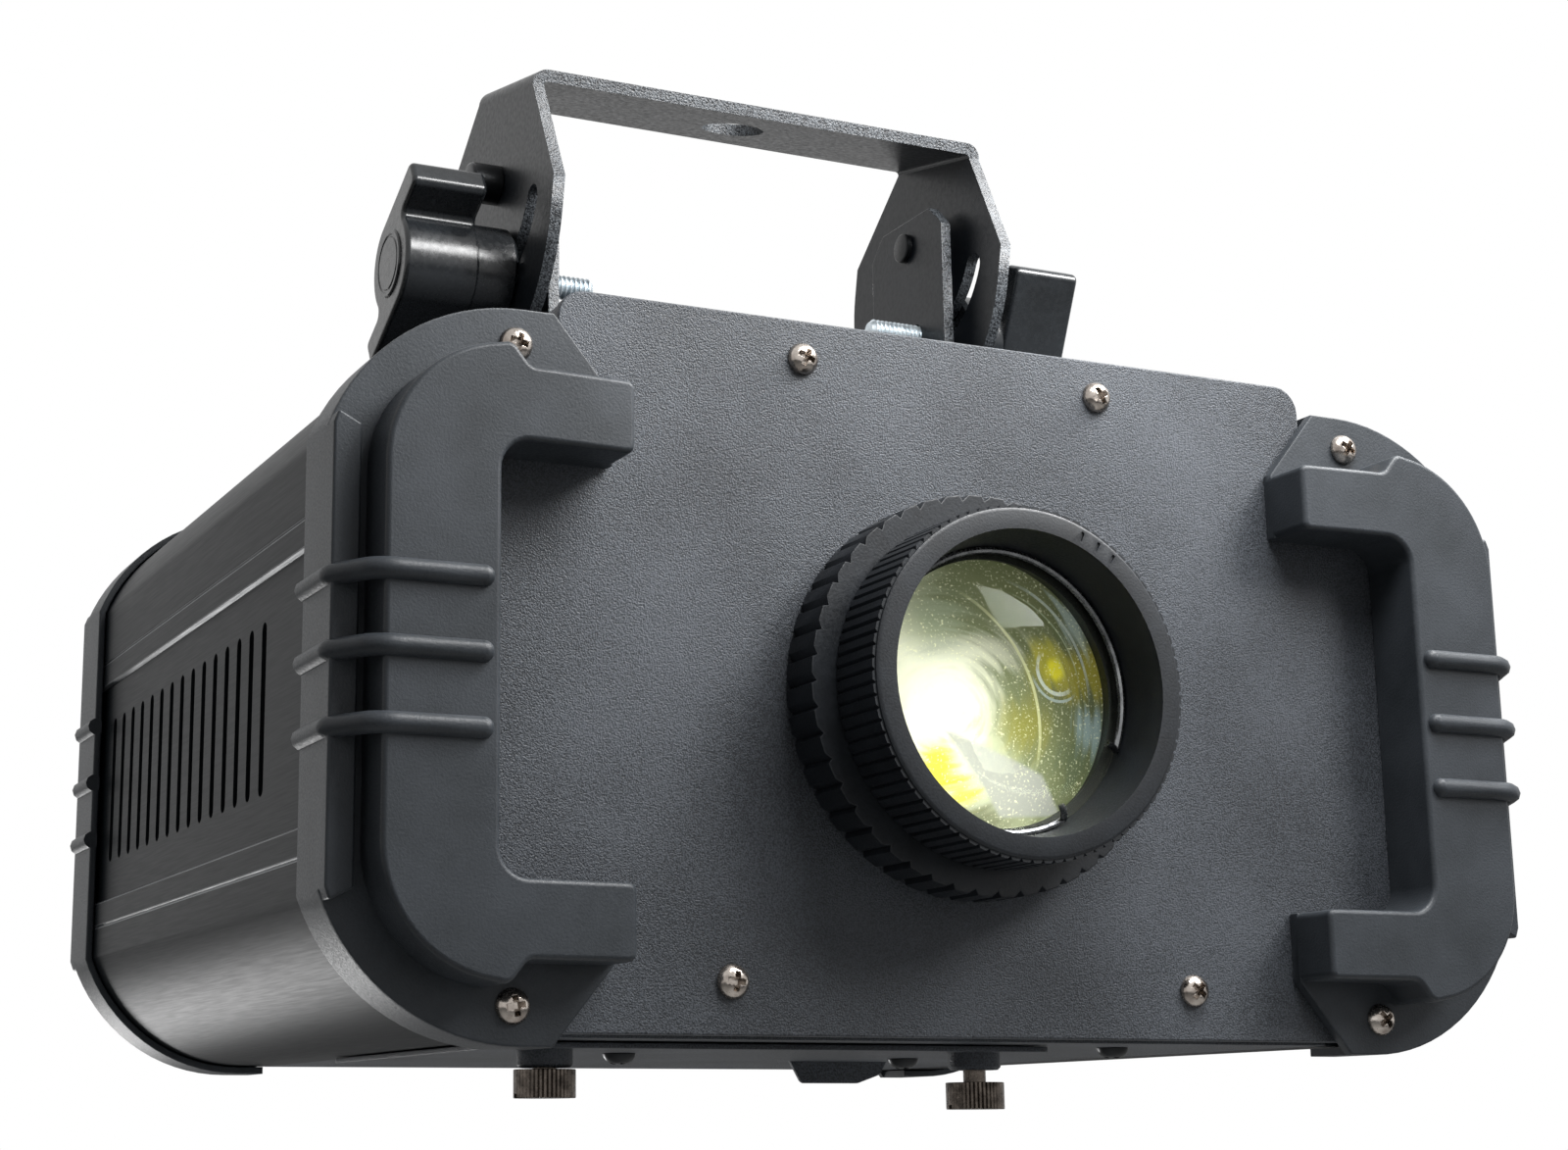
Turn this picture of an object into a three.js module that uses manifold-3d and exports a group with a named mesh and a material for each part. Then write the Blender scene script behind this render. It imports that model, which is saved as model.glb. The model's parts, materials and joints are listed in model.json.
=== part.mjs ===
import * as THREE from "three";
import { mergeVertices } from "three/addons/utils/BufferGeometryUtils.js";
import Module from "manifold-3d";

const wasm = await Module();
wasm.setup();

// Driving dimensions, in mm. X runs to the right, Y to the rear and Z up.
// The housing is laid out with y = 0 on the front panel's face and z = 0 on the lens axis.
const housing_depth = 204.6;
const housing_half_height = 72.6;
const housing_half_width = 141.05;
const corner_radius = 42.6;
const corner_cut_width = 2.55;

const gap = 0.3;
const overrun = 2;
const running_gap = 0.05;
const weld_depth = 0.2;
const arc_steps = 8;

// Sheet panels
const panel_thickness = 2.5;
const panel_rise_height = 6.6;
const panel_lift_height = 2.7;
const panel_side_width = 29.05;
const panel_strip_margin = 0.8;
const panel_strip_radius = 6;
const panel_chamfer = 4;
const sheet_thickness = 1.5;
const cover_inset = 49.35;
const lid_radius = 5.4;
const fold_inset = 8.3;
const top_fold_height = 16.9;
const bottom_fold_height = 15.05;

// Corner guards
const guard_plate_height = 2.7;
const guard_band_height = 6.5;
const guard_bumper_height = 14.9;
const guard_skirt_length = 11.85;
const skirt_thickness = 1.75;
const guard_post_width = 31.05;
const guard_arm_width = 30.5;
const guard_fillet_radius = 6;
const arm_end_share = 0.57852;
const arm_shelf_width = 15.6;
const arm_corner_radius = 1.6;
const plate_slope_share = 0.6066;
const notch_inset = 35.75;
const notch_width = 3.7;
const bumper_inset = 7.85;
const bumper_shelf_width = 11.2;
const bumper_radius = 25.7;
const bumper_start_angle = 97;
const bumper_bevel = 1.2;
const band_end_width = 26;
const band_width = 5.65;
const band_lip_width = 0.95;
const band_slope_width = 2.4;
const band_foot_share = 0.33;
const rib_radius = 2.15;
const rib_pitch = 14.5;
const rib_inset = 3.7;
const rib_bend_inset = 0.8;
const rib_side_inset = 0.45;
const rib_side_height = 0.9;

// Screws
const head_radius = 3.5;
const head_height = 2.2;
const head_radius_shares = [0.62, 0.94];
const head_height_shares = [0.9, 0.48];
const shank_radius = 1.7;
const screw_hole_radius = 2;
const cross_length = 3.9;
const cross_width = 0.95;
const cross_depth = 1.4;
const guard_screw_inset_x = 38.35;
const guard_screw_inset_z = 7.6;
const guard_screw_length = 14;
const panel_screw_length = 9;
const top_screw_x_share = 0.2609;
const bottom_screw_x_share = 0.39064;
const top_screw_inset = 8.5;
const bottom_screw_inset = 10.5;

// Extruded sides
const wall = 3;
const side_recess_depth = 1.1;
const recess_top_inset = 47.75;
const recess_bottom_inset = 41.8;
const recess_slope_width = 0.6;
const ledge_width = 8;
const boss_radius = 4;
const bore_radius = 1.95;
const slot_count = 15;
const slot_width = 3.4;
const slot_top_inset = 9.45;
const slot_bottom_inset = 9.9;
const slot_first_y = 48.9;
const slot_rear_inset = 21.2;

// Yoke, ears and clamps
const pivot_y = 110.5;
const pivot_height = 65.1;
const yoke_lean = 12.5;
const yoke_width_share = 0.4502;
const yoke_thickness = 3;
const yoke_bend_radius = 4;
const yoke_top = 27;
const yoke_top_half_width = 19;
const yoke_wide_half_width = 38.5;
const yoke_wide_height = -1.5;
const yoke_round_height = -9.5;
const hang_hole_radius = 8;
const clamp_drop_height = 25.8;
const clamp_lead_length = 3.8;
const arc_half_width = 3.4;
const arc_half_angle = 77;
const pivot_hole_radius = 3;
const pivot_shank_radius = pivot_hole_radius - running_gap;
const pivot_head_radius = 5;
const pivot_head_length = 7.7;
const pivot_socket_radius = 2.4;
const pivot_socket_depth = 4;
const pivot_bolt_end_length = 1.8;
const pivot_bolt_end_radius = 3.9;
const ear_thickness = 3;
const ear_half_width = 18.5;
const ear_top_margin = 7.6;
const ear_chamfer = 6;
const ear_boss_radius = 7;
const ear_boss_height = 3;
const ear_foot_length = 15;
const ear_foot_thickness = 2.5;
const rivet_radius = 3;
const rivet_height = 1.2;
const clamp_bolt_radius = 3;
const clamp_bolt_end_length = 14.2;
const clamp_bolt_buried_length = 12;
const bolt_chamfer = 0.7;
const knob_hub_radius = 12.3;
const knob_hub_length = 10;
const knob_length = 19;
const knob_core_radius = 12.7;
const knob_wing_reach = 22.8;
const knob_wing_width = 7.2;
const knob_tip_radius = 2;
const knob_left_angle = 152;
const knob_right_angle = 114;
const knob_bevel = 1;
const knob_cap_radius = 8;
const knob_cap_height = 0.5;

// Lens
const lens_radius = 30.1;
const lens_edge_front = -13.4;
const lens_front_height = 6;
const lens_rear_height = 3;
const lens_gap = 0.2;
const lens_seat_width = 2.8;
const lens_seat_front = -19.5;
const lens_shoulder_front = -10.2;
const barrel_wall = 6.3;
const barrel_front = -26.9;
const barrel_chamfer = 1;
const barrel_mouth_width = 1.2;
const barrel_tube_wall = 0.9;
const barrel_rear = 28;
const slide_gap = 0.1;
const mount_wall = 2.3;
const mount_flange_width = 11.4;
const mount_flange_thickness = 2.5;
const mount_front = -10.8;
const mount_rear = 34;
const panel_bore_gap = 0.4;
const focus_gap = 0.2;
const focus_wall = 7.2;
const focus_tooth_height = 1.1;
const focus_front = -11.1;
const focus_teeth = 48;
const tooth_shares = [0, 0.3, 0.7];
const wire_radius = 0.75;
const wire_start_angle = -62;
const wire_end_angle = -22;
const full_turn_angle = 360;
const wire_tail_length = 3.2;
const wire_tail_height = 1.6;

// Gobo stage and light source
const bulkhead_front = 62;
const bulkhead_thickness = 2;
const bulkhead_side_gap = 4;
const bulkhead_top = 45;
const bulkhead_foot_length = 14;
const window_left_inset = 40;
const window_right_inset = 4;
const window_front = 36;
const window_rear_length = 40;
const window_arch_height = 29.05;
const gobo_radius = 19;
const gobo_thickness = 0.8;
const gobo_gap = 0.2;
const gobo_seat_width = 2;
const holder_wall = 2.8;
const holder_lip_width = 1.2;
const holder_lip_thickness = 1.5;
const holder_rim_width = 5;
const holder_rim_thickness = 4;
const gobo_hole_count = 8;
const gobo_hole_share = 0.125;
const gobo_ring_share = 0.5;
const gobo_centre_share = 0.2;
const roller_radius = 9;
const roller_gap = 0.15;
const roller_length = 5;
const roller_angle = 145;
const motor_radius = 11.6;
const motor_length = 18;
const motor_boss_radius = 3.5;
const motor_shaft_radius = 1.5;
const cell_wall = 3;
const cell_gap = 2.3;
const cell_flange_width = 7;
const cell_flange_thickness = 3;
const cell_lip_width = 2;
const condenser_radius = 24;
const condenser_depth = 11.4;
const condenser_edge_thickness = 3;
const condenser_height = 7;
const board_half_width = 30;
const board_thickness = 2;
const emitter_radius = 14;
const emitter_height = 1.2;
const source_depth = 22;
const sink_base_thickness = 5;
const sink_side_gap = 16;
const sink_top = 42;
const sink_foot_length = 20;
const sink_rear_gap = 20.8;
const sink_fin_count = 9;
const sink_fin_thickness = 2;
const supply_margin = 6;
const supply_right_share = 0.43956;
const supply_rear_gap = 5.8;
const supply_height = 11.35;
const supply_board_thickness = 1.6;
const post_half_width = 3;
const choke_height = 20;
const choke_x_shares = [0.15, 0.85];
const choke_y_shares = [0.1, 0.42];
const capacitor_radius = 5.5;
const capacitor_height = 22;
const capacitor_x_share = 0.5;
const capacitor_y_shares = [0.52, 0.67];
const connector_height = 12;
const connector_y_shares = [0.8, 0.92];

// Rear fittings
const fan_x_share = 0.22687;
const fan_bore_radius = 38;
const fan_wall = 2;
const fan_depth = 20;
const fan_hub_radius = 15;
const fan_blade_gap = 1.5;
const fan_blade_thickness = 1.4;
const fan_blade_width = 14;
const fan_blade_angle = 38;
const fan_blades = 7;
const fan_strut_width = 4;
const fan_strut_inset = 1;
const fan_rotor_inset = 2;
const fan_screw_inset = 4.25;
const wire_guard_radius = 1;
const wire_arm_share = 0.7;
const guard_ring_shares = [0.3, 0.625, 0.965];
const inlet_x_share = 0.35448;
const inlet_rise_height = 31.9;
const inlet_half_width = 13.6;
const inlet_half_height = 9.9;
const inlet_plate_half_width = 24;
const inlet_plate_thickness = 2.4;
const inlet_plate_drop_height = 13;
const inlet_plate_rise_height = 9;
const inlet_body_rise_height = 6;
const socket_half_width = 12;
const socket_half_height = 8;
const socket_depth = 15;
const socket_floor_thickness = 4;
const pin_half_width = 1;
const pin_half_height = 2;
const pin_inset = 4;
const pin_spacing = 7;
const pin_drop_height = 2;
const pin_rise_height = 2.5;
const switch_rise_height = 20;
const rocker_inset = 1;
const rocker_half_length = 6;
const rocker_half_width = 4.1;
const rocker_horn_height = 2.2;
const rocker_depth = 3.4;
const rocker_taper_width = 1;
const rocker_hole_half_width = 6.7;
const rocker_angle = 8;
const dial_rise_height = 40;
const dial_radius = 7.5;
const dial_radius_shares = [0.933, 0.8];
const dial_height = 11;
const dial_edge_height = 1;
const dial_shaft_radius = 3;
const dial_shaft_length = 6;
const dial_hole_radius = 4;
const dial_mark_half_width = 0.6;
const dial_mark_start_height = 2;

// Underside
const access_lap_width = 6.3;
const access_right_share = 0.19851;
const access_front = 13.2;
const access_rear_length = 60;
const access_gap = 0.3;
const access_thickness = 1.2;
const thumb_left_inset = 11.5;
const thumb_right_inset = 15.5;
const thumb_front_inset = 7.8;
const collar_radius = 5.6;
const collar_height = 3.6;
const knurl_radius = 6.2;
const knurl_height = 5.6;
const knurl_root_share = 0.95;
const knurl_teeth = 24;
const thumb_neck_radius = 2.4;
const thumb_hole_gap = 1.2;
const thumb_slot_half_width = 0.6;
const thumb_slot_depth = 0.8;
const thumb_left_gap = 0.3;
const thumb_right_gap = 2.6;
const lip_width = 26;
const lip_height = 5;
const lip_right_inset = 1;
const lip_rear_inset = 20;
const lip_x_shares = [0, 0.115, 0.692, 0.923, 1];
const lip_height_shares = [0, 1, 1, 0.6, 0];
const bottom_screw_gap_x = 22;
const bottom_screw_gap_y = 3;

// Places that follow from the sizes above
const face_y = housing_depth;
const corner_centre_x = housing_half_width - corner_radius + corner_cut_width;
const corner_centre_z = housing_half_height - corner_radius;

const panel_top = housing_half_height + panel_rise_height;
const panel_bottom = panel_lift_height - housing_half_height;
const panel_half_width = housing_half_width - panel_side_width;
const cover_half_width = housing_half_width - cover_inset;
const panel_strip_half_width = cover_half_width + panel_strip_margin;
const lid_top = panel_top - gap;
const fold_half_width = cover_half_width - fold_inset;
const fold_top_z = lid_top - top_fold_height;
const top_screw_x = housing_half_width * top_screw_x_share;
const bottom_screw_x = housing_half_width * bottom_screw_x_share;
const panel_screws = [
  [-top_screw_x, panel_top - top_screw_inset],
  [top_screw_x, panel_top - top_screw_inset],
  [-bottom_screw_x, panel_bottom + bottom_screw_inset],
  [bottom_screw_x, panel_bottom + bottom_screw_inset],
];

const guard_screw_x = housing_half_width - guard_screw_inset_x;
const guard_screw_z = housing_half_height - guard_screw_inset_z;
const guard_inner_x = housing_half_width - guard_post_width;
const guard_inner_z = housing_half_height - guard_arm_width;
const arm_end_x = housing_half_width * arm_end_share;
const arm_outer_z = housing_half_height - arm_shelf_width;
const plate_corner_x = arm_end_x + (guard_screw_x - arm_end_x) * plate_slope_share;
const notch_inner_x = housing_half_width - notch_inset;
const notch_outer_x = notch_inner_x + notch_width;
const bumper_outer_x = housing_half_width - bumper_inset;
const bumper_top_z = housing_half_height - bumper_shelf_width;
const band_half_height = housing_half_height - band_end_width;
const band_inner_x = housing_half_width - band_width;
const band_outer_x = housing_half_width - band_lip_width;
const rib_inner_x = guard_inner_x + rib_inset;
const rib_bend_x = bumper_outer_x - rib_bend_inset;
const rib_side_x = housing_half_width - rib_side_inset;
const rib_side_y = -guard_band_height - rib_side_height;

const lens_seat_radius = lens_radius + lens_gap;
const barrel_bore_radius = lens_seat_radius - lens_seat_width;
const barrel_radius = lens_seat_radius + barrel_wall;
const barrel_mouth_radius = lens_seat_radius + barrel_mouth_width;
const barrel_tube_radius = lens_seat_radius + barrel_tube_wall;
const wire_ring_radius = lens_seat_radius - wire_radius - focus_gap / 2;
const mount_inner_radius = barrel_tube_radius + slide_gap;
const mount_outer_radius = mount_inner_radius + mount_wall;
const mount_flange_radius = mount_outer_radius + mount_flange_width;
const panel_bore_radius = mount_outer_radius + panel_bore_gap;
const focus_bore_radius = mount_outer_radius + focus_gap;
const focus_root_radius = focus_bore_radius + focus_wall;
const focus_radius = focus_root_radius + focus_tooth_height;

const side_front = panel_thickness + gap;
const side_rear = housing_depth - panel_thickness - gap;
const side_outer_x = housing_half_width - skirt_thickness - gap;
const side_radius = corner_radius - skirt_thickness - gap;
const flange_face = corner_centre_z + side_radius;
const flange_end_x = cover_half_width + gap;
const ledge_end_x = flange_end_x - ledge_width;
const sheet_inner = flange_face - sheet_thickness;
const ledge_outer = sheet_inner - gap;
const ledge_inner = flange_face - wall;
const fold_bottom_z = bottom_fold_height - sheet_inner;
const recess_top = housing_half_height - recess_top_inset;
const recess_bottom = recess_bottom_inset - housing_half_height;
const slot_top = recess_top - slot_top_inset;
const slot_bottom = recess_bottom + slot_bottom_inset;
const slot_last_y = housing_depth - slot_rear_inset;

const pivot_z = lid_top + pivot_height;
const clamp_y = pivot_y - clamp_lead_length;
const clamp_z = pivot_z - clamp_drop_height;
const arc_radius = Math.hypot(clamp_lead_length, clamp_drop_height);
const ear_front_y = pivot_y - ear_half_width;
const ear_rear_y = pivot_y + ear_half_width;
const ear_top = pivot_z + ear_top_margin;
const yoke_half_width = housing_half_width * yoke_width_share;
const hang_y = pivot_y - yoke_top * Math.sin(THREE.MathUtils.degToRad(yoke_lean));
const hang_z = pivot_z + yoke_top * Math.cos(THREE.MathUtils.degToRad(yoke_lean));

const gobo_seat_radius = gobo_radius + gobo_gap;
const holder_inner_radius = gobo_radius - gobo_seat_width;
const holder_bore_radius = gobo_seat_radius + holder_wall;
const holder_lip_radius = holder_bore_radius + holder_lip_width;
const holder_rim_radius = holder_bore_radius + holder_rim_width;
const cell_outer_radius = condenser_radius + cell_wall;
const cell_flange_radius = cell_outer_radius + cell_flange_width;

const fan_x = housing_half_width * fan_x_share;
const fan_half_width = fan_bore_radius + fan_wall;
const fan_blade_radius = fan_bore_radius - fan_blade_gap;
const fan_pitch = fan_half_width - fan_screw_inset;
const fan_rear = face_y - panel_thickness - gap;
const fan_front = fan_rear - fan_depth;
const inlet_x = -housing_half_width * inlet_x_share;
const inlet_z = panel_bottom + inlet_rise_height;
const switch_z = inlet_z + switch_rise_height;
const dial_z = switch_z + dial_rise_height;

const cover_left = -cover_half_width - access_lap_width;
const cover_right = housing_half_width * access_right_share;
const bulkhead_rear = bulkhead_front + bulkhead_thickness;
const bulkhead_half_width = ledge_end_x - bulkhead_side_gap;
const cover_rear = bulkhead_rear + access_rear_length;
const window_left = cover_left + window_left_inset;
const window_right = cover_right - window_right_inset;
const window_rear = bulkhead_rear + window_rear_length;
const window_arch_top = window_arch_height - sheet_inner;
const thumb_y = access_front + thumb_front_inset;
const thumb_left_x = cover_left + thumb_left_inset;
const thumb_right_x = cover_right - thumb_right_inset;

// Solids and shapes
const group = new THREE.Group();
group.position.set(0, -hang_y, -hang_z);

function solid(geometry) {
  const bare = new THREE.BufferGeometry();
  bare.setAttribute("position", geometry.getAttribute("position"));
  if (geometry.index) bare.setIndex(geometry.index);
  const merged = mergeVertices(bare, 1e-4);
  const kept = [];
  const index = merged.index.array;
  for (let i = 0; i < index.length; i += 3) {
    const [a, b, c] = [index[i], index[i + 1], index[i + 2]];
    if (a !== b && b !== c && c !== a) kept.push(a, b, c);
  }
  const made = (order) =>
    new wasm.Manifold(
      new wasm.Mesh({
        numProp: 3,
        vertProperties: new Float32Array(merged.attributes.position.array),
        triVerts: new Uint32Array(order),
      }),
    );
  const body = made(kept);
  return body.volume() > 0 ? body : made(kept.reverse());
}

function joined(...geometries) {
  return geometries.map((g) => (g.isBufferGeometry ? solid(g) : g)).reduce((a, b) => a.add(b));
}

function cut(body, ...tools) {
  const start = body.isBufferGeometry ? solid(body) : body;
  return tools.reduce((a, tool) => a.subtract(tool.isBufferGeometry ? solid(tool) : tool), start);
}

function geometryOf(body) {
  const mesh = body.getMesh();
  const step = mesh.numProp;
  const positions = new Float32Array(mesh.numVert * 3);
  for (let i = 0; i < mesh.numVert; i++) {
    positions.set(mesh.vertProperties.subarray(i * step, i * step + 3), i * 3);
  }
  const geometry = new THREE.BufferGeometry();
  geometry.setAttribute("position", new THREE.BufferAttribute(positions, 3));
  geometry.setIndex(new THREE.BufferAttribute(mesh.triVerts, 1));
  const flat = geometry.toNonIndexed();
  flat.computeVertexNormals();
  return flat;
}

function place(name, body, color, finish = {}) {
  const geometry = body.isBufferGeometry ? geometryOf(solid(body)) : geometryOf(body);
  const material = new THREE.MeshStandardMaterial({ color, roughness: 0.6, metalness: 0.1, ...finish });
  const mesh = new THREE.Mesh(geometry, material);
  mesh.name = name;
  group.add(mesh);
  return mesh;
}

// A copy mirrored in the plane where the given axis is zero, with its faces turned back outwards.
function mirrored(geometry, axis) {
  const copy = geometry.index ? geometry.toNonIndexed() : geometry.clone();
  const scale = [1, 1, 1];
  scale[axis] = -1;
  copy.scale(...scale);
  const position = copy.getAttribute("position");
  for (let i = 0; i < position.count; i += 3) {
    for (let k = 0; k < 3; k++) {
      const held = position.array[i * 3 + k];
      position.array[i * 3 + k] = position.array[(i + 1) * 3 + k];
      position.array[(i + 1) * 3 + k] = held;
    }
  }
  return copy;
}

function box(x0, x1, y0, y1, z0, z1) {
  const geometry = new THREE.BoxGeometry(x1 - x0, y1 - y0, z1 - z0);
  return geometry.translate((x0 + x1) / 2, (y0 + y1) / 2, (z0 + z1) / 2);
}

function circlePoints(x, z, radius, from, to, steps) {
  const points = [];
  for (let i = 0; i <= steps; i++) {
    const angle = THREE.MathUtils.degToRad(from + ((to - from) * i) / steps);
    points.push(new THREE.Vector2(x + radius * Math.cos(angle), z + radius * Math.sin(angle)));
  }
  return points;
}

function outline(points) {
  const list = points.map((p) => (p.isVector2 ? p : new THREE.Vector2(p[0], p[1])));
  if (THREE.ShapeUtils.isClockWise(list)) list.reverse();
  return new THREE.Shape(list);
}

// An outline in (x, z) made solid between two y.
function slabY(points, y0, y1, bevel = 0) {
  const settings = {
    depth: y1 - y0 - 2 * bevel,
    bevelEnabled: bevel > 0,
    bevelThickness: bevel,
    bevelSize: bevel,
    bevelOffset: -bevel,
    bevelSegments: 1,
  };
  const geometry = new THREE.ExtrudeGeometry(outline(points), settings);
  return geometry.rotateX(Math.PI / 2).translate(0, y1 - bevel, 0);
}

// An outline in (y, z) made solid between two x.
function slabX(points, x0, x1, bevel = 0) {
  const settings = {
    depth: x1 - x0 - 2 * bevel,
    bevelEnabled: bevel > 0,
    bevelThickness: bevel,
    bevelSize: bevel,
    bevelOffset: -bevel,
    bevelSegments: 1,
  };
  const geometry = new THREE.ExtrudeGeometry(outline(points), settings);
  const turn = new THREE.Matrix4().makeBasis(
    new THREE.Vector3(0, 1, 0),
    new THREE.Vector3(0, 0, 1),
    new THREE.Vector3(1, 0, 0),
  );
  return geometry.applyMatrix4(turn).translate(x0 + bevel, 0, 0);
}

// An outline in (x, y) made solid between two z.
function slabZ(points, z0, z1) {
  const geometry = new THREE.ExtrudeGeometry(outline(points), { depth: z1 - z0, bevelEnabled: false });
  return geometry.translate(0, 0, z0);
}

// A closed profile of (radius, along) turned about Y.
function turned(profile, segments) {
  const points = profile.map((p) => new THREE.Vector2(p[0], p[1]));
  if (THREE.ShapeUtils.isClockWise(points)) points.reverse();
  points.push(points[0].clone());
  return new THREE.LatheGeometry(points, segments);
}

function alongX(geometry, x, y, z) {
  return geometry.rotateZ(-Math.PI / 2).translate(x, y, z);
}

function alongZ(geometry, x, y, z) {
  return geometry.rotateX(Math.PI / 2).translate(x, y, z);
}

function rod(radius, y0, y1, segments) {
  const profile = [
    [0, y0],
    [radius, y0],
    [radius, y1],
    [0, y1],
  ];
  return turned(profile, segments);
}

// A round rod that follows points lying in the plane with the given normal.
function bentRod(points, radius, normal, segments) {
  const positions = [];
  const rings = points.map((point, i) => {
    const before = points[Math.max(i - 1, 0)];
    const after = points[Math.min(i + 1, points.length - 1)];
    const into = point.clone().sub(before).normalize();
    const out = after.clone().sub(point).normalize();
    const along = into.clone().add(out).normalize();
    const side = new THREE.Vector3().crossVectors(along, normal);
    const straight = i === 0 || i === points.length - 1 ? 1 : along.dot(out);
    return Array.from({ length: segments }, (_, k) => {
      const angle = (2 * Math.PI * k) / segments;
      return point
        .clone()
        .addScaledVector(side, (radius * Math.cos(angle)) / straight)
        .addScaledVector(normal, radius * Math.sin(angle));
    });
  });
  const face = (a, b, c) => positions.push(...a.toArray(), ...b.toArray(), ...c.toArray());
  for (let i = 0; i + 1 < rings.length; i++) {
    for (let k = 0; k < segments; k++) {
      const n = (k + 1) % segments;
      face(rings[i][k], rings[i][n], rings[i + 1][k]);
      face(rings[i][n], rings[i + 1][n], rings[i + 1][k]);
    }
  }
  const first = points[0];
  const last = points[points.length - 1];
  for (let k = 0; k < segments; k++) {
    const n = (k + 1) % segments;
    face(first, rings[0][n], rings[0][k]);
    face(last, rings[rings.length - 1][k], rings[rings.length - 1][n]);
  }
  const geometry = new THREE.BufferGeometry();
  geometry.setAttribute("position", new THREE.Float32BufferAttribute(positions, 3));
  return geometry;
}

function toothed(radius, root, teeth) {
  const points = [];
  for (let i = 0; i < teeth; i++) {
    for (const [k, share] of tooth_shares.entries()) {
      const r = k > 0 ? radius : root;
      const angle = (2 * Math.PI * (i + share)) / teeth;
      points.push(new THREE.Vector2(r * Math.cos(angle), r * Math.sin(angle)));
    }
  }
  return points;
}

const black_moulding = { roughness: 0.55, metalness: 0 };
const bare_metal = { roughness: 0.3, metalness: 0.9 };

// A pan-head screw whose seat is at y = 0 and whose head points to -Y.
function panScrew(length) {
  const profile = [
    [0, -head_height],
    [head_radius * head_radius_shares[0], -head_height * head_height_shares[0]],
    [head_radius * head_radius_shares[1], -head_height * head_height_shares[1]],
    [head_radius, 0],
    [shank_radius, 0],
    [shank_radius, length],
    [0, length],
  ];
  const long = cross_length / 2;
  const short = cross_width / 2;
  const top = -head_height - overrun;
  const floor = -head_height + cross_depth;
  return cut(
    turned(profile, 10),
    box(-long, long, top, floor, -short, short),
    box(-short, short, top, floor, -long, long),
  );
}

const front_screw_body = geometryOf(panScrew(panel_screw_length));
panel_screws.forEach(([x, z], i) => {
  const front = front_screw_body.clone().translate(x, 0, z);
  place("front_screw_" + (i + 1), front, 0xb9b4ad, bare_metal);
  const rear = mirrored(front_screw_body, 1).translate(x, face_y, z);
  place("rear_screw_" + (i + 1), rear, 0xb9b4ad, bare_metal);
});

const guard_screw_body = geometryOf(panScrew(guard_screw_length)).translate(0, -guard_plate_height, 0);
let guard_screw_number = 0;
for (const x of [-guard_screw_x, guard_screw_x]) {
  for (const z of [-guard_screw_z, guard_screw_z]) {
    guard_screw_number += 1;
    const front = guard_screw_body.clone().translate(x, 0, z);
    place("guard_screw_front_" + guard_screw_number, front, 0xb9b4ad, bare_metal);
    const rear = mirrored(guard_screw_body, 1).translate(x, face_y, z);
    place("guard_screw_rear_" + guard_screw_number, rear, 0xb9b4ad, bare_metal);
  }
}

// Corner guards
function mirroredPath(upper) {
  const lower = upper.map((p) => new THREE.Vector2(p.x, -p.y)).reverse();
  return [...upper, ...lower];
}

function v(x, z) {
  return new THREE.Vector2(x, z);
}

function outerArc(radius, limit_x, steps) {
  const reach = (limit_x - corner_centre_x) / radius;
  const end = 180 - THREE.MathUtils.radToDeg(Math.acos(reach));
  return circlePoints(-corner_centre_x, corner_centre_z, radius, 90, end, steps);
}

function innerEdge() {
  const centre_x = guard_fillet_radius - guard_inner_x;
  const centre_z = guard_inner_z - guard_fillet_radius;
  const fillet = circlePoints(centre_x, centre_z, guard_fillet_radius, 180, 90, 3);
  return [...fillet, v(-arm_end_x, guard_inner_z)];
}

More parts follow.
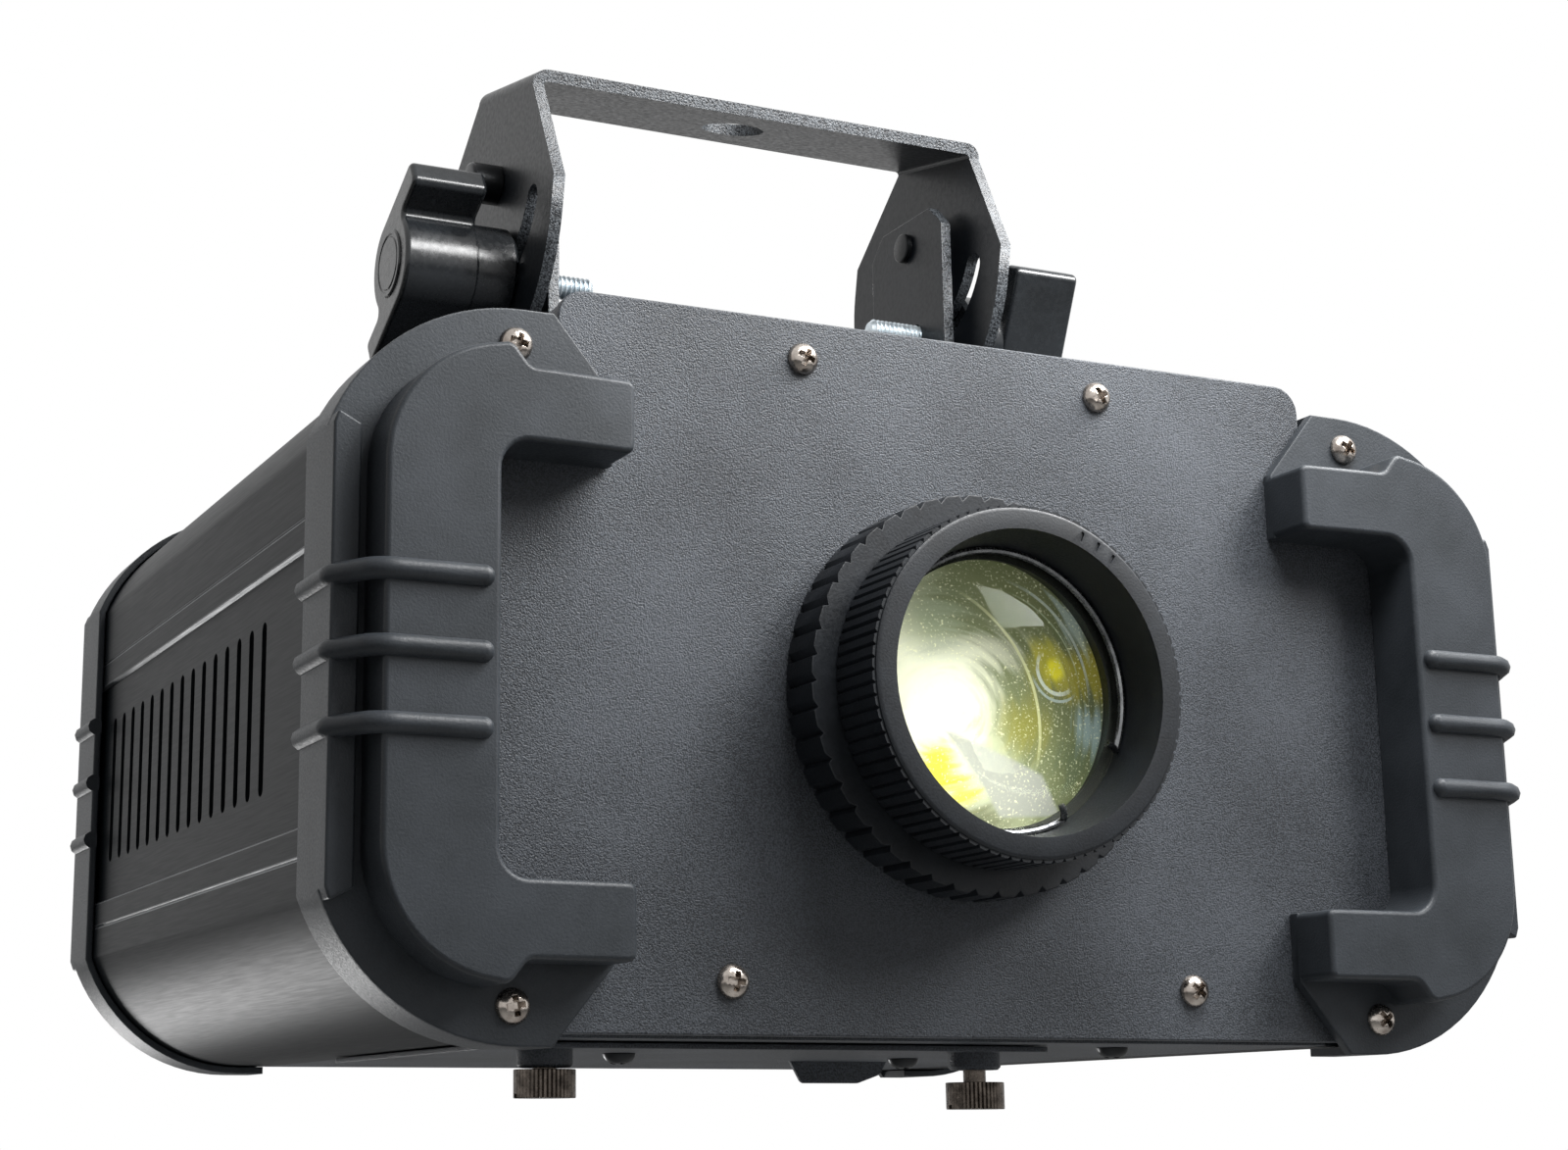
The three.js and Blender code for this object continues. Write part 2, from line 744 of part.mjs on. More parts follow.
function guard() {
  const edge_upper = [
    ...innerEdge(),
    v(-arm_end_x, arm_outer_z),
    v(-plate_corner_x, housing_half_height),
    ...outerArc(corner_radius, housing_half_width, arc_steps),
  ];
  const plate = slabY(mirroredPath(edge_upper), -guard_plate_height, -gap);

  const bumper_upper = [
    ...innerEdge(),
    v(-arm_end_x, arm_outer_z - arm_corner_radius),
    v(-arm_end_x - arm_corner_radius, arm_outer_z),
    v(-notch_inner_x, arm_outer_z),
    v(-notch_outer_x, bumper_top_z),
    ...circlePoints(
      -bumper_outer_x + bumper_radius,
      bumper_top_z - bumper_radius,
      bumper_radius,
      bumper_start_angle,
      180,
      6,
    ),
  ];
  const bumper = slabY(mirroredPath(bumper_upper), -guard_bumper_height, -gap - weld_depth, bumper_bevel);

  const band_upper = [
    v(-band_inner_x, band_half_height - band_slope_width),
    v(-band_outer_x, band_half_height),
    v(-housing_half_width, corner_centre_z + corner_radius * band_foot_share),
  ];
  const band = slabY(mirroredPath(band_upper), -guard_band_height, -gap - weld_depth);

  const skirt_outer = [
    v(-plate_corner_x, housing_half_height),
    ...outerArc(corner_radius, housing_half_width, arc_steps),
  ];
  const inner_radius = corner_radius - skirt_thickness;
  const skirt_inner = [
    v(-plate_corner_x, housing_half_height - skirt_thickness),
    ...outerArc(inner_radius, housing_half_width - skirt_thickness, arc_steps),
  ];
  const skirt_path = [...mirroredPath(skirt_outer), ...mirroredPath(skirt_inner).reverse()];
  const skirt = slabY(skirt_path, -guard_plate_height, guard_skirt_length);

  const rib_normal = new THREE.Vector3(0, 0, 1);
  const ribs = [-rib_pitch, 0, rib_pitch].map((z) => {
    const path = [
      new THREE.Vector3(-rib_inner_x, -guard_bumper_height, z),
      new THREE.Vector3(-rib_bend_x, -guard_bumper_height, z),
      new THREE.Vector3(-rib_side_x, rib_side_y, z),
      new THREE.Vector3(-rib_side_x, guard_skirt_length, z),
    ];
    const ball = new THREE.SphereGeometry(rib_radius, 8, 4).rotateX(Math.PI / 2);
    ball.translate(-rib_inner_x, -guard_bumper_height, z);
    return joined(bentRod(path, rib_radius, rib_normal, 8), ball);
  });
  const inside = slabY(
    mirroredPath([v(-plate_corner_x, inner_radius), ...skirt_inner]),
    -gap,
    guard_skirt_length + overrun,
  );
  const holes = [-guard_screw_z, guard_screw_z].map((z) =>
    rod(screw_hole_radius, -guard_bumper_height - overrun, overrun, 10).translate(-guard_screw_x, 0, z),
  );
  return cut(joined(plate, bumper, band, skirt, ...ribs), inside, ...holes);
}

const guard_body = geometryOf(guard());
place("guard_front_left", guard_body, 0x2f3235, black_moulding);
place("guard_front_right", mirrored(guard_body, 0), 0x2f3235, black_moulding);
const rear_guard = mirrored(guard_body, 1).translate(0, face_y, 0);
place("guard_rear_left", rear_guard, 0x2f3235, black_moulding);
place("guard_rear_right", mirrored(rear_guard, 0), 0x2f3235, black_moulding);

// Extruded sides
function sideProfile() {
  const arc_top = outerArc(side_radius, side_outer_x, arc_steps);
  const inner_top = outerArc(side_radius - wall, side_outer_x - wall, arc_steps);
  const below = (list) => list.map((p) => v(p.x, -p.y));
  const recess_x = side_outer_x - side_recess_depth;
  const outer = [
    v(-flange_end_x, flange_face),
    ...arc_top,
    v(-side_outer_x, recess_top),
    v(-recess_x, recess_top - recess_slope_width),
    v(-recess_x, recess_bottom + recess_slope_width),
    v(-side_outer_x, recess_bottom),
    ...below(arc_top).reverse(),
    v(-flange_end_x, -flange_face),
    v(-flange_end_x, -ledge_outer),
    v(-ledge_end_x, -ledge_outer),
    v(-ledge_end_x, -ledge_inner),
  ];
  const inner = [
    v(-ledge_end_x, ledge_inner),
    v(-ledge_end_x, ledge_outer),
    v(-flange_end_x, ledge_outer),
  ];
  return [...outer, ...below(inner_top), ...inner_top.reverse(), ...inner];
}

function side() {
  const shell = slabY(sideProfile(), side_front, side_rear);
  const bosses = [-guard_screw_z, guard_screw_z].map((z) =>
    rod(boss_radius, side_front, side_rear, 8).translate(-guard_screw_x, 0, z),
  );
  const bores = [-guard_screw_z, guard_screw_z].map((z) =>
    rod(bore_radius, side_front - overrun, side_rear + overrun, 8).translate(-guard_screw_x, 0, z),
  );
  const step = (slot_last_y - slot_first_y) / (slot_count - 1);
  const half = slot_width / 2;
  const slots = Array.from({ length: slot_count }, (_, i) => {
    const y = slot_first_y + i * step;
    const path = [
      ...circlePoints(y, slot_top - half, half, 0, 180, 2),
      ...circlePoints(y, slot_bottom + half, half, 180, 360, 2),
    ];
    return slabX(path, -side_outer_x - overrun, -side_outer_x + side_recess_depth + wall + overrun);
  });
  return cut(joined(shell, ...bosses), ...bores, ...slots);
}

const side_body = geometryOf(side());
place("side_left", side_body, 0x35373a, { roughness: 0.35, metalness: 0.6 });
place("side_right", mirrored(side_body, 0), 0x35373a, { roughness: 0.35, metalness: 0.6 });

// Panels
function panelOutline() {
  const shoulder = -panel_bottom;
  const upper = [
    v(-panel_half_width, shoulder - panel_chamfer),
    v(-panel_half_width + panel_chamfer, shoulder),
    v(-panel_strip_half_width, shoulder),
    ...circlePoints(
      -panel_strip_half_width + panel_strip_radius,
      panel_top - panel_strip_radius,
      panel_strip_radius,
      180,
      90,
      5,
    ),
  ];
  const lower = [
    v(-panel_half_width + panel_chamfer, panel_bottom),
    v(-panel_half_width, panel_bottom + panel_chamfer),
  ];
  const left = [...lower, ...upper];
  return [...left, ...left.map((p) => v(-p.x, p.y)).reverse()];
}

function panelHoles(y0, y1) {
  const holes = panel_screws.map(([x, z]) => rod(screw_hole_radius, y0, y1, 10).translate(x, 0, z));
  for (const x of [-guard_screw_x, guard_screw_x]) {
    for (const z of [-guard_screw_z, guard_screw_z]) {
      holes.push(rod(screw_hole_radius, y0, y1, 10).translate(x, 0, z));
    }
  }
  return holes;
}

const front_panel = cut(
  slabY(panelOutline(), 0, panel_thickness),
  rod(panel_bore_radius, -overrun, panel_thickness + overrun, 36),
  ...panelHoles(-overrun, panel_thickness + overrun),
);
place("front_panel", front_panel, 0x4a4d50, { roughness: 0.8, metalness: 0.2 });

const sheet_y0 = side_front;
const sheet_y1 = side_rear;

function foldHoles(z_sign) {
  return panel_screws
    .filter(([, z]) => z * z_sign > 0)
    .map(([x, z]) => rod(screw_hole_radius, sheet_y0 - overrun, sheet_y1 + overrun, 10).translate(x, 0, z));
}

function folds(z0, z1) {
  return [sheet_y0, sheet_y1 - sheet_thickness].map((y) =>
    box(-fold_half_width, fold_half_width, y, y + sheet_thickness, z0, z1),
  );
}

function topCover() {
  const inner_x = cover_half_width - sheet_thickness;
  const inner_radius = lid_radius - sheet_thickness;
  const arc_z = lid_top - lid_radius;
  const arc_x = cover_half_width - lid_radius;
  const path = [
    v(-cover_half_width, sheet_inner),
    ...circlePoints(-arc_x, arc_z, lid_radius, 180, 90, 4),
    ...circlePoints(arc_x, arc_z, lid_radius, 90, 0, 4),
    v(cover_half_width, sheet_inner),
    v(inner_x, sheet_inner),
    ...circlePoints(arc_x, arc_z, inner_radius, 0, 90, 4),
    ...circlePoints(-arc_x, arc_z, inner_radius, 90, 180, 4),
    v(-inner_x, sheet_inner),
  ];
  return cut(
    joined(slabY(path, sheet_y0, sheet_y1), ...folds(fold_top_z, lid_top - sheet_thickness / 2)),
    ...foldHoles(1),
  );
}

place("top_cover", topCover(), 0x3a3c3f, { roughness: 0.8, metalness: 0.2 });

// Yoke, laid out about its pivot and then leant forwards
function yoke() {
  const half = yoke_half_width;
  const inner = half - yoke_thickness;
  const foot = yoke_round_height - yoke_wide_half_width;
  const bend_in = yoke_bend_radius - yoke_thickness;
  const bend_x = half - yoke_bend_radius;
  const bend_w = yoke_top - yoke_bend_radius;
  const outer_path = [
    v(-half, foot),
    ...circlePoints(-bend_x, bend_w, yoke_bend_radius, 180, 90, 5),
    ...circlePoints(bend_x, bend_w, yoke_bend_radius, 90, 0, 5),
    v(half, foot),
  ];
  const inner_path = [
    v(inner, foot),
    ...circlePoints(bend_x, bend_w, bend_in, 0, 90, 3),
    ...circlePoints(-bend_x, bend_w, bend_in, 90, 180, 3),
    v(-inner, foot),
  ];
  const hoop_reach = yoke_wide_half_width + overrun;
  const hoop = slabY([...outer_path, ...inner_path], -hoop_reach, hoop_reach);
  const leg_path = [
    v(yoke_top_half_width, yoke_top + overrun),
    v(yoke_top_half_width, bend_w),
    v(yoke_wide_half_width, yoke_wide_height),
    ...circlePoints(0, yoke_round_height, yoke_wide_half_width, 0, -180, 16),
    v(-yoke_wide_half_width, yoke_wide_height),
    v(-yoke_top_half_width, bend_w),
    v(-yoke_top_half_width, yoke_top + overrun),
  ];
  const reach = half + overrun;
  const legs = slabX(leg_path, -reach, reach);
  const slot_path = [
    ...circlePoints(0, 0, arc_radius + arc_half_width, -90 - arc_half_angle, -90 + arc_half_angle, 14),
    ...roundEnd(-90 + arc_half_angle, 0),
    ...circlePoints(0, 0, arc_radius - arc_half_width, -90 + arc_half_angle, -90 - arc_half_angle, 14),
    ...roundEnd(-90 - arc_half_angle, 180),
  ];
  const slot = slabX(slot_path, -reach, reach);
  const pivot_hole = alongX(rod(pivot_hole_radius, -reach, reach, 24), 0, 0, 0);
  const under_top = yoke_top - yoke_thickness;
  const hang_hole = alongZ(rod(hang_hole_radius, -overrun, yoke_thickness + overrun, 32), 0, 0, under_top);
  return cut(solid(hoop).intersect(solid(legs)), slot, pivot_hole, hang_hole);
}

// The rounded end of the arc slot, without its first and last point.
function roundEnd(angle, turn) {
  const rad = THREE.MathUtils.degToRad(angle);
  const centre = v(arc_radius * Math.cos(rad), arc_radius * Math.sin(rad));
  const start = angle + turn;
  return circlePoints(centre.x, centre.y, arc_half_width, start, start + 180, 4).slice(1, -1);
}

const yoke_mesh = place("yoke", yoke(), 0x2c2e31, { roughness: 0.5, metalness: 0.5 });
yoke_mesh.position.set(0, pivot_y, pivot_z);
yoke_mesh.rotation.x = THREE.MathUtils.degToRad(yoke_lean);

// Ears
const boss_face_x = yoke_half_width - yoke_thickness - gap;
const ear_outer_x = boss_face_x - ear_boss_height;
const ear_inner_x = ear_outer_x - ear_thickness;

function ear() {
  const base = lid_top + gap;
  const path = [
    v(ear_front_y, base),
    v(ear_rear_y, base),
    v(ear_rear_y, ear_top - ear_chamfer),
    v(ear_rear_y - ear_chamfer, ear_top),
    v(ear_front_y + ear_chamfer, ear_top),
    v(ear_front_y, ear_top - ear_chamfer),
  ];
  const plate = slabX(path, -ear_outer_x, -ear_inner_x);
  const foot = box(
    -ear_outer_x,
    -ear_inner_x + ear_foot_length,
    ear_front_y,
    ear_rear_y,
    base,
    base + ear_foot_thickness,
  );
  const rivet_x = -ear_inner_x + ear_foot_length / 2;
  const foot_top = base + ear_foot_thickness;
  const rivets = [ear_front_y + ear_chamfer, ear_rear_y - ear_chamfer].map((y) =>
    alongZ(rod(rivet_radius, -ear_foot_thickness / 2, rivet_height, 12), rivet_x, y, foot_top),
  );
  const bosses = [[pivot_y, pivot_z], [clamp_y, clamp_z]].map(([y, z]) =>
    alongX(rod(ear_boss_radius, -boss_face_x, -ear_outer_x + weld_depth, 24), 0, y, z),
  );
  const reach = boss_face_x + overrun;
  return cut(
    joined(plate, foot, ...rivets, ...bosses),
    alongX(rod(pivot_hole_radius + gap, -reach, 0, 24), 0, pivot_y, pivot_z),
    alongX(rod(clamp_bolt_radius + gap, -reach, 0, 24), 0, clamp_y, clamp_z),
  );
}

const ear_body = geometryOf(ear());
place("ear_left", ear_body, 0x2c2e31, { roughness: 0.5, metalness: 0.5 });
place("ear_right", mirrored(ear_body, 0), 0x2c2e31, { roughness: 0.5, metalness: 0.5 });

// Pivot bolts, clamp bolts and knobs, drawn on the right-hand side
const leg_face = yoke_half_width + gap;
const pivot_end_x = ear_inner_x - pivot_bolt_end_length;
const clamp_bolt_end_x = ear_inner_x - clamp_bolt_end_length;

function pivotBolt() {
  const head_end = leg_face + pivot_head_length;
  const profile = [
    [0, pivot_end_x],
    [pivot_bolt_end_radius, pivot_end_x],
    [pivot_bolt_end_radius, ear_inner_x - gap],
    [pivot_shank_radius, ear_inner_x - gap],
    [pivot_shank_radius, leg_face],
    [pivot_head_radius, leg_face],
    [pivot_head_radius, head_end - bolt_chamfer],
    [pivot_head_radius - bolt_chamfer, head_end],
    [0, head_end],
  ];
  const socket = rod(pivot_socket_radius, head_end - pivot_socket_depth, head_end + overrun, 6);
  return cut(alongX(turned(profile, 24), 0, pivot_y, pivot_z), alongX(socket, 0, pivot_y, pivot_z));
}

function clampBolt() {
  const end = leg_face + clamp_bolt_buried_length;
  const profile = [
    [0, clamp_bolt_end_x],
    [clamp_bolt_radius - bolt_chamfer, clamp_bolt_end_x],
    [clamp_bolt_radius, clamp_bolt_end_x + bolt_chamfer],
    [clamp_bolt_radius, end],
    [0, end],
  ];
  return alongX(turned(profile, 24), 0, clamp_y, clamp_z);
}

// A knob with two wings that leave its round core on a tangent. Seen from outside, both turn the same way.
function clampKnob(hand, angle) {
  const tip = knob_wing_reach - knob_tip_radius;
  const inner = knob_core_radius - knob_wing_width;
  const valley = THREE.MathUtils.radToDeg(Math.asin(inner / knob_core_radius));
  const wing = [
    ...circlePoints(tip, knob_core_radius - knob_tip_radius, knob_tip_radius, 90, 0, 3),
    ...circlePoints(tip, inner + knob_tip_radius, knob_tip_radius, 0, -90, 3),
    ...circlePoints(0, 0, knob_core_radius, valley, -90, 8),
  ];
  const turn = THREE.MathUtils.degToRad(angle);
  const wings = [1, -1].flatMap((side) =>
    wing.map((p) => v(side * p.x, side * hand * p.y).rotateAround(v(0, 0), turn).add(v(clamp_y, clamp_z))),
  );
  const edge = hand > 0 ? wings.reverse() : wings;
  const grip_start = leg_face + knob_hub_length;
  const hub = alongX(rod(knob_hub_radius, leg_face, grip_start + weld_depth, 24), 0, clamp_y, clamp_z);
  const grip = slabX(edge, grip_start, grip_start + knob_length, knob_bevel);
  const face = grip_start + knob_length;
  const cap_rod = rod(knob_cap_radius, face - weld_depth, face + knob_cap_height, 24);
  const cap = alongX(cap_rod, 0, clamp_y, clamp_z);
  const hole_end = leg_face + clamp_bolt_buried_length + gap;
  const hole_rod = rod(clamp_bolt_radius + running_gap, leg_face - overrun, hole_end, 24);
  const hole = alongX(hole_rod, 0, clamp_y, clamp_z);
  return cut(joined(hub, grip, cap), hole);
}

for (const [suffix, flip, knob_angle] of [
  ["right", false, knob_right_angle],
  ["left", true, knob_left_angle],
]) {
  const hand = flip ? -1 : 1;
  const pieces = {
    pivot_bolt: [geometryOf(pivotBolt()), 0x232527, { roughness: 0.4, metalness: 0.6 }],
    clamp_bolt: [geometryOf(solid(clampBolt())), 0xb7bfc4, bare_metal],
    clamp_knob: [geometryOf(clampKnob(hand, knob_angle)), 0x1d1f21, { roughness: 0.3, metalness: 0 }],
  };
  for (const [name, [geometry, color, finish]] of Object.entries(pieces)) {
    place(name + "_" + suffix, flip ? mirrored(geometry, 0) : geometry, color, finish);
  }
}

// Lens
const lens_mount = turned(
  [
    [mount_inner_radius, mount_front],
    [mount_outer_radius, mount_front],
    [mount_outer_radius, panel_thickness + gap],
    [mount_flange_radius, panel_thickness + gap],
    [mount_flange_radius, panel_thickness + gap + mount_flange_thickness],
    [mount_outer_radius, panel_thickness + gap + mount_flange_thickness],
    [mount_outer_radius, mount_rear],
    [mount_inner_radius, mount_rear],
  ],
  36,
);
place("lens_mount", lens_mount, 0x1f2123, { roughness: 0.5, metalness: 0.5 });

const focus_ring = cut(
  slabY(toothed(focus_radius, focus_root_radius, focus_teeth), focus_front, -gap),
  rod(focus_bore_radius, focus_front - overrun, overrun, 36),
);
place("focus_ring", focus_ring, 0x232527, black_moulding);

const barrel_step = focus_front - gap;
const lens_barrel = turned(
  [
    [barrel_mouth_radius, barrel_front],
    [barrel_radius - barrel_chamfer, barrel_front],
    [barrel_radius, barrel_front + barrel_chamfer],
    [barrel_radius, barrel_step],
    [barrel_tube_radius, barrel_step],
    [barrel_tube_radius, barrel_rear],
    [barrel_bore_radius, barrel_rear],
    [barrel_bore_radius, lens_shoulder_front],
    [lens_seat_radius, lens_shoulder_front],
    [lens_seat_radius, lens_seat_front],
  ],
  36,
);
place("lens_barrel", lens_barrel, 0x1f2123, black_moulding);

function bulge(radius, height, y, steps, sign) {
  const points = [];
  for (let i = 0; i <= steps; i++) {
    const r = (radius * i) / steps;
    points.push([r, y + sign * height * (1 - (r / radius) ** 2)]);
  }
  return points;
}

const lens_rear_edge = lens_shoulder_front - gap / 2;
const front_lens = turned(
  [
    ...bulge(lens_radius, lens_front_height, lens_edge_front, 4, -1),
    [lens_radius, lens_rear_edge],
    [barrel_bore_radius, lens_rear_edge],
    ...bulge(barrel_bore_radius - gap, lens_rear_height, lens_rear_edge, 2, 1).reverse(),
  ],
  36,
);
place("front_lens", front_lens, 0xc9d98a, { roughness: 0.05, metalness: 0, transparent: true, opacity: 0.5 });

const wire_y = lens_edge_front - 2 * wire_radius;
const wire_turn_angle = full_turn_angle + wire_start_angle;
const wire_path = circlePoints(0, 0, wire_ring_radius, wire_end_angle, wire_turn_angle, 20);
const wire_points = wire_path.map((p) => new THREE.Vector3(p.x, wire_y, p.y));
const tail_share = (wire_ring_radius - wire_tail_length) / wire_ring_radius;
const tail = (p) => p.clone().multiplyScalar(tail_share).setY(wire_y - wire_tail_height);
const snap_path = [tail(wire_points[0]), ...wire_points, tail(wire_points[wire_points.length - 1])];
place(
  "snap_ring",
  bentRod(snap_path, wire_radius, new THREE.Vector3(0, 1, 0), 6),
  0x9a9c9e,
  bare_metal,
);

// Gobo stage
const bottom_inner = -sheet_inner + gap;
const roller_distance = holder_rim_radius + roller_radius + roller_gap;
const roller_x = roller_distance * Math.cos(THREE.MathUtils.degToRad(roller_angle));
const roller_z = roller_distance * Math.sin(THREE.MathUtils.degToRad(roller_angle));

const foot_rear = bulkhead_rear + bulkhead_foot_length;
const foot_top = bottom_inner + bulkhead_thickness;
const half_bulkhead = bulkhead_half_width;
const bulkhead_sheet = joined(
  box(-half_bulkhead, half_bulkhead, bulkhead_front, bulkhead_rear, bottom_inner, bulkhead_top),
  box(-half_bulkhead, half_bulkhead, bulkhead_front, foot_rear, bottom_inner, foot_top),
);
const bulkhead_window = box(
  window_left,
  window_right,
  bulkhead_front - overrun,
  foot_rear + overrun,
  bottom_inner - overrun,
  window_arch_top,
);
const bore_front = bulkhead_front - overrun;
const bore_rear = bulkhead_rear + overrun;
const bulkhead = cut(
  bulkhead_sheet,
  bulkhead_window,
  rod(holder_bore_radius + running_gap + gap, bore_front, bore_rear, 36),
  rod(motor_boss_radius + gap, bore_front, bore_rear, 16).translate(roller_x, 0, roller_z),
);
place("bulkhead", bulkhead, 0x8d9194, { roughness: 0.4, metalness: 0.8 });

const rim_rear = bulkhead_front - gap;
const gobo_holder = turned(
  [
    [gobo_seat_radius, rim_rear - holder_rim_thickness],
    [holder_rim_radius, rim_rear - holder_rim_thickness],
    [holder_rim_radius, rim_rear],
    [holder_bore_radius, rim_rear],
    [holder_bore_radius, bulkhead_rear + gap],
    [holder_lip_radius, bulkhead_rear + gap],
    [holder_lip_radius, bulkhead_rear + gap + holder_lip_thickness],
    [holder_inner_radius, bulkhead_rear + gap + holder_lip_thickness],
    [holder_inner_radius, rim_rear - holder_rim_thickness / 2],
    [gobo_seat_radius, rim_rear - holder_rim_thickness / 2],
  ],
  28,
);
place("gobo_holder", gobo_holder, 0x2a2c2e, black_moulding);

const gobo_rear = rim_rear - holder_rim_thickness / 2 - gap / 2;
const gobo_cut_front = gobo_rear - gobo_thickness - overrun;
const gobo_holes = Array.from({ length: gobo_hole_count }, (_, i) => {
  const angle = (2 * Math.PI * i) / gobo_hole_count;
  const ring = gobo_radius * gobo_ring_share;
  const spot = rod(gobo_radius * gobo_hole_share, gobo_cut_front, gobo_rear + overrun, 6);
  return spot.translate(ring * Math.cos(angle), 0, ring * Math.sin(angle));
});
place(
  "gobo_disc",
  cut(
    rod(gobo_radius, gobo_rear - gobo_thickness, gobo_rear, 30),
    rod(gobo_radius * gobo_centre_share, gobo_cut_front, gobo_rear + overrun, 10),
    ...gobo_holes,
  ),
  0xc2c5c8,
  bare_metal,
);

const motor_front = bulkhead_rear + gap;
const gobo_motor = turned(
  [
    [0, rim_rear - holder_rim_thickness / 2],
    [motor_shaft_radius, rim_rear - holder_rim_thickness / 2],
    [motor_shaft_radius, bulkhead_front - gap],
    [motor_boss_radius, bulkhead_front - gap],
    [motor_boss_radius, motor_front],
    [motor_radius, motor_front],
    [motor_radius, motor_front + motor_length],
    [0, motor_front + motor_length],
  ],
  24,
).translate(roller_x, 0, roller_z);
place("gobo_motor", gobo_motor, 0x9fa2a5, bare_metal);

const roller_rear = bulkhead_front - 2 * gap;
const drive_roller = cut(
  rod(roller_radius, roller_rear - roller_length, roller_rear, 24),
  rod(motor_shaft_radius + running_gap, rim_rear - holder_rim_thickness / 2 - gap, roller_rear + overrun, 24),
).translate([roller_x, 0, roller_z]);
place("drive_roller", drive_roller, 0x1b1b1b, { roughness: 0.9, metalness: 0 });

// Light source
const cell_front = motor_front + motor_length + cell_gap;
const condenser_rear = cell_front + condenser_depth;
const sink_front = condenser_rear + source_depth;
const board_front = sink_front - gap - board_thickness;
const cell_rear = board_front - gap;
const condenser_cell = turned(
  [
    [condenser_radius + gap, cell_front],
    [cell_outer_radius, cell_front],
    [cell_outer_radius, cell_rear - cell_flange_thickness],
    [cell_flange_radius, cell_rear - cell_flange_thickness],
    [cell_flange_radius, cell_rear],
    [emitter_radius + cell_lip_width, cell_rear],
    [condenser_radius - cell_lip_width, condenser_rear + gap],
    [condenser_radius + gap, condenser_rear + gap],
  ],
  28,
);
place("condenser_cell", condenser_cell, 0x9fa2a5, bare_metal);

const condenser_lens = turned(
  [
    ...bulge(condenser_radius, condenser_height, condenser_rear - condenser_edge_thickness, 4, -1),
    [condenser_radius, condenser_rear],
    [0, condenser_rear],
  ],
  28,
);
const clear_glass = { roughness: 0.05, metalness: 0, transparent: true, opacity: 0.5 };
place("condenser_lens", condenser_lens, 0xe6eef2, clear_glass);

const led_board = joined(
  box(
    -board_half_width,
    board_half_width,
    board_front,
    sink_front - gap,
    -board_half_width,
    board_half_width,
  ),
  rod(emitter_radius, board_front - emitter_height, board_front + weld_depth, 24),
);
place("led_board", led_board, 0xe9e6d2, { roughness: 0.4, metalness: 0.1 });

const supply_left = -ledge_end_x - supply_margin;
const supply_right = -housing_half_width * supply_right_share;
const sink_half_width = -supply_right - sink_side_gap;
const fin_front = sink_front + sink_base_thickness;
const fin_rear = fan_front - sink_rear_gap;
const fin_pitch = (2 * sink_half_width - sink_fin_thickness) / (sink_fin_count - 1);
const fins = Array.from({ length: sink_fin_count }, (_, i) => {
  const x = -sink_half_width + i * fin_pitch;
  return box(x, x + sink_fin_thickness, fin_front - weld_depth, fin_rear, -sink_top, sink_top);
});
const sink_foot_top = bottom_inner + sink_base_thickness;
const sink_foot_rear = fin_front + sink_foot_length;
const heat_sink = joined(
  box(-sink_half_width, sink_half_width, sink_front, fin_front, bottom_inner, sink_top),
  box(-sink_half_width, sink_half_width, sink_front, sink_foot_rear, bottom_inner, sink_foot_top),
  ...fins,
);
place("heat_sink", heat_sink, 0xa9adb0, { roughness: 0.4, metalness: 0.8 });

const supply_front = condenser_rear;
const supply_rear = fan_front - supply_rear_gap;
const supply_z = bottom_inner + supply_height - gap;
const supply_top = supply_z + supply_board_thickness;
const post_left = -ledge_end_x + supply_margin;
const post_right = supply_right - supply_margin;

function post(x, y) {
  const half = post_half_width;
  return box(x - half, x + half, y - half, y + half, bottom_inner, supply_z + weld_depth);
}

function supplyX(share) {
  return supply_left + (supply_right - supply_left) * share;
}

function supplyY(share) {
  return supply_front + (supply_rear - supply_front) * share;
}

const choke_x = choke_x_shares.map(supplyX);
const choke_y = choke_y_shares.map(supplyY);
const connector_y = connector_y_shares.map(supplyY);
const seat = supply_top - weld_depth;
const capacitors = capacitor_y_shares.map((share) =>
  alongZ(
    rod(capacitor_radius, -weld_depth, capacitor_height, 16),
    supplyX(capacitor_x_share),
    supplyY(share),
    supply_top,
  ),
);
const power_board = joined(
  box(supply_left, supply_right, supply_front, supply_rear, supply_z, supply_top),
  post(post_left, supply_front + supply_margin),
  post(post_right, supply_front + supply_margin),
  post(post_left, supply_rear - supply_margin),
  post(post_right, supply_rear - supply_margin),
  box(choke_x[0], choke_x[1], choke_y[0], choke_y[1], seat, supply_top + choke_height),
  box(choke_x[0], choke_x[1], connector_y[0], connector_y[1], seat, supply_top + connector_height),
  ...capacitors,
);
place("power_board", power_board, 0x2e5a3a, { roughness: 0.6, metalness: 0.1 });

// Fan
const strut_rear = fan_front + fan_strut_width;
const strut_half = fan_strut_width / 2;
const strut_reach = fan_half_width - fan_strut_inset;

function atFan(geometry) {
  return geometry.translate(fan_x, 0, 0);
}

const fan_half = fan_half_width;
const fan_frame = joined(
  cut(
    atFan(box(-fan_half, fan_half, fan_front, fan_rear, -fan_half, fan_half)),
    atFan(rod(fan_bore_radius, fan_front - overrun, fan_rear + overrun, 36)),
  ),
  cut(
    joined(
      atFan(rod(fan_hub_radius, fan_front, strut_rear, 24)),
      atFan(box(-strut_reach, strut_reach, fan_front, strut_rear, -strut_half, strut_half)),
      atFan(box(-strut_half, strut_half, fan_front, strut_rear, -strut_reach, strut_reach)),
    ),
    atFan(rod(pivot_hole_radius, fan_front - overrun, strut_rear + overrun, 24)),
  ),
);
place("fan_frame", fan_frame, 0x1c1d1f, black_moulding);

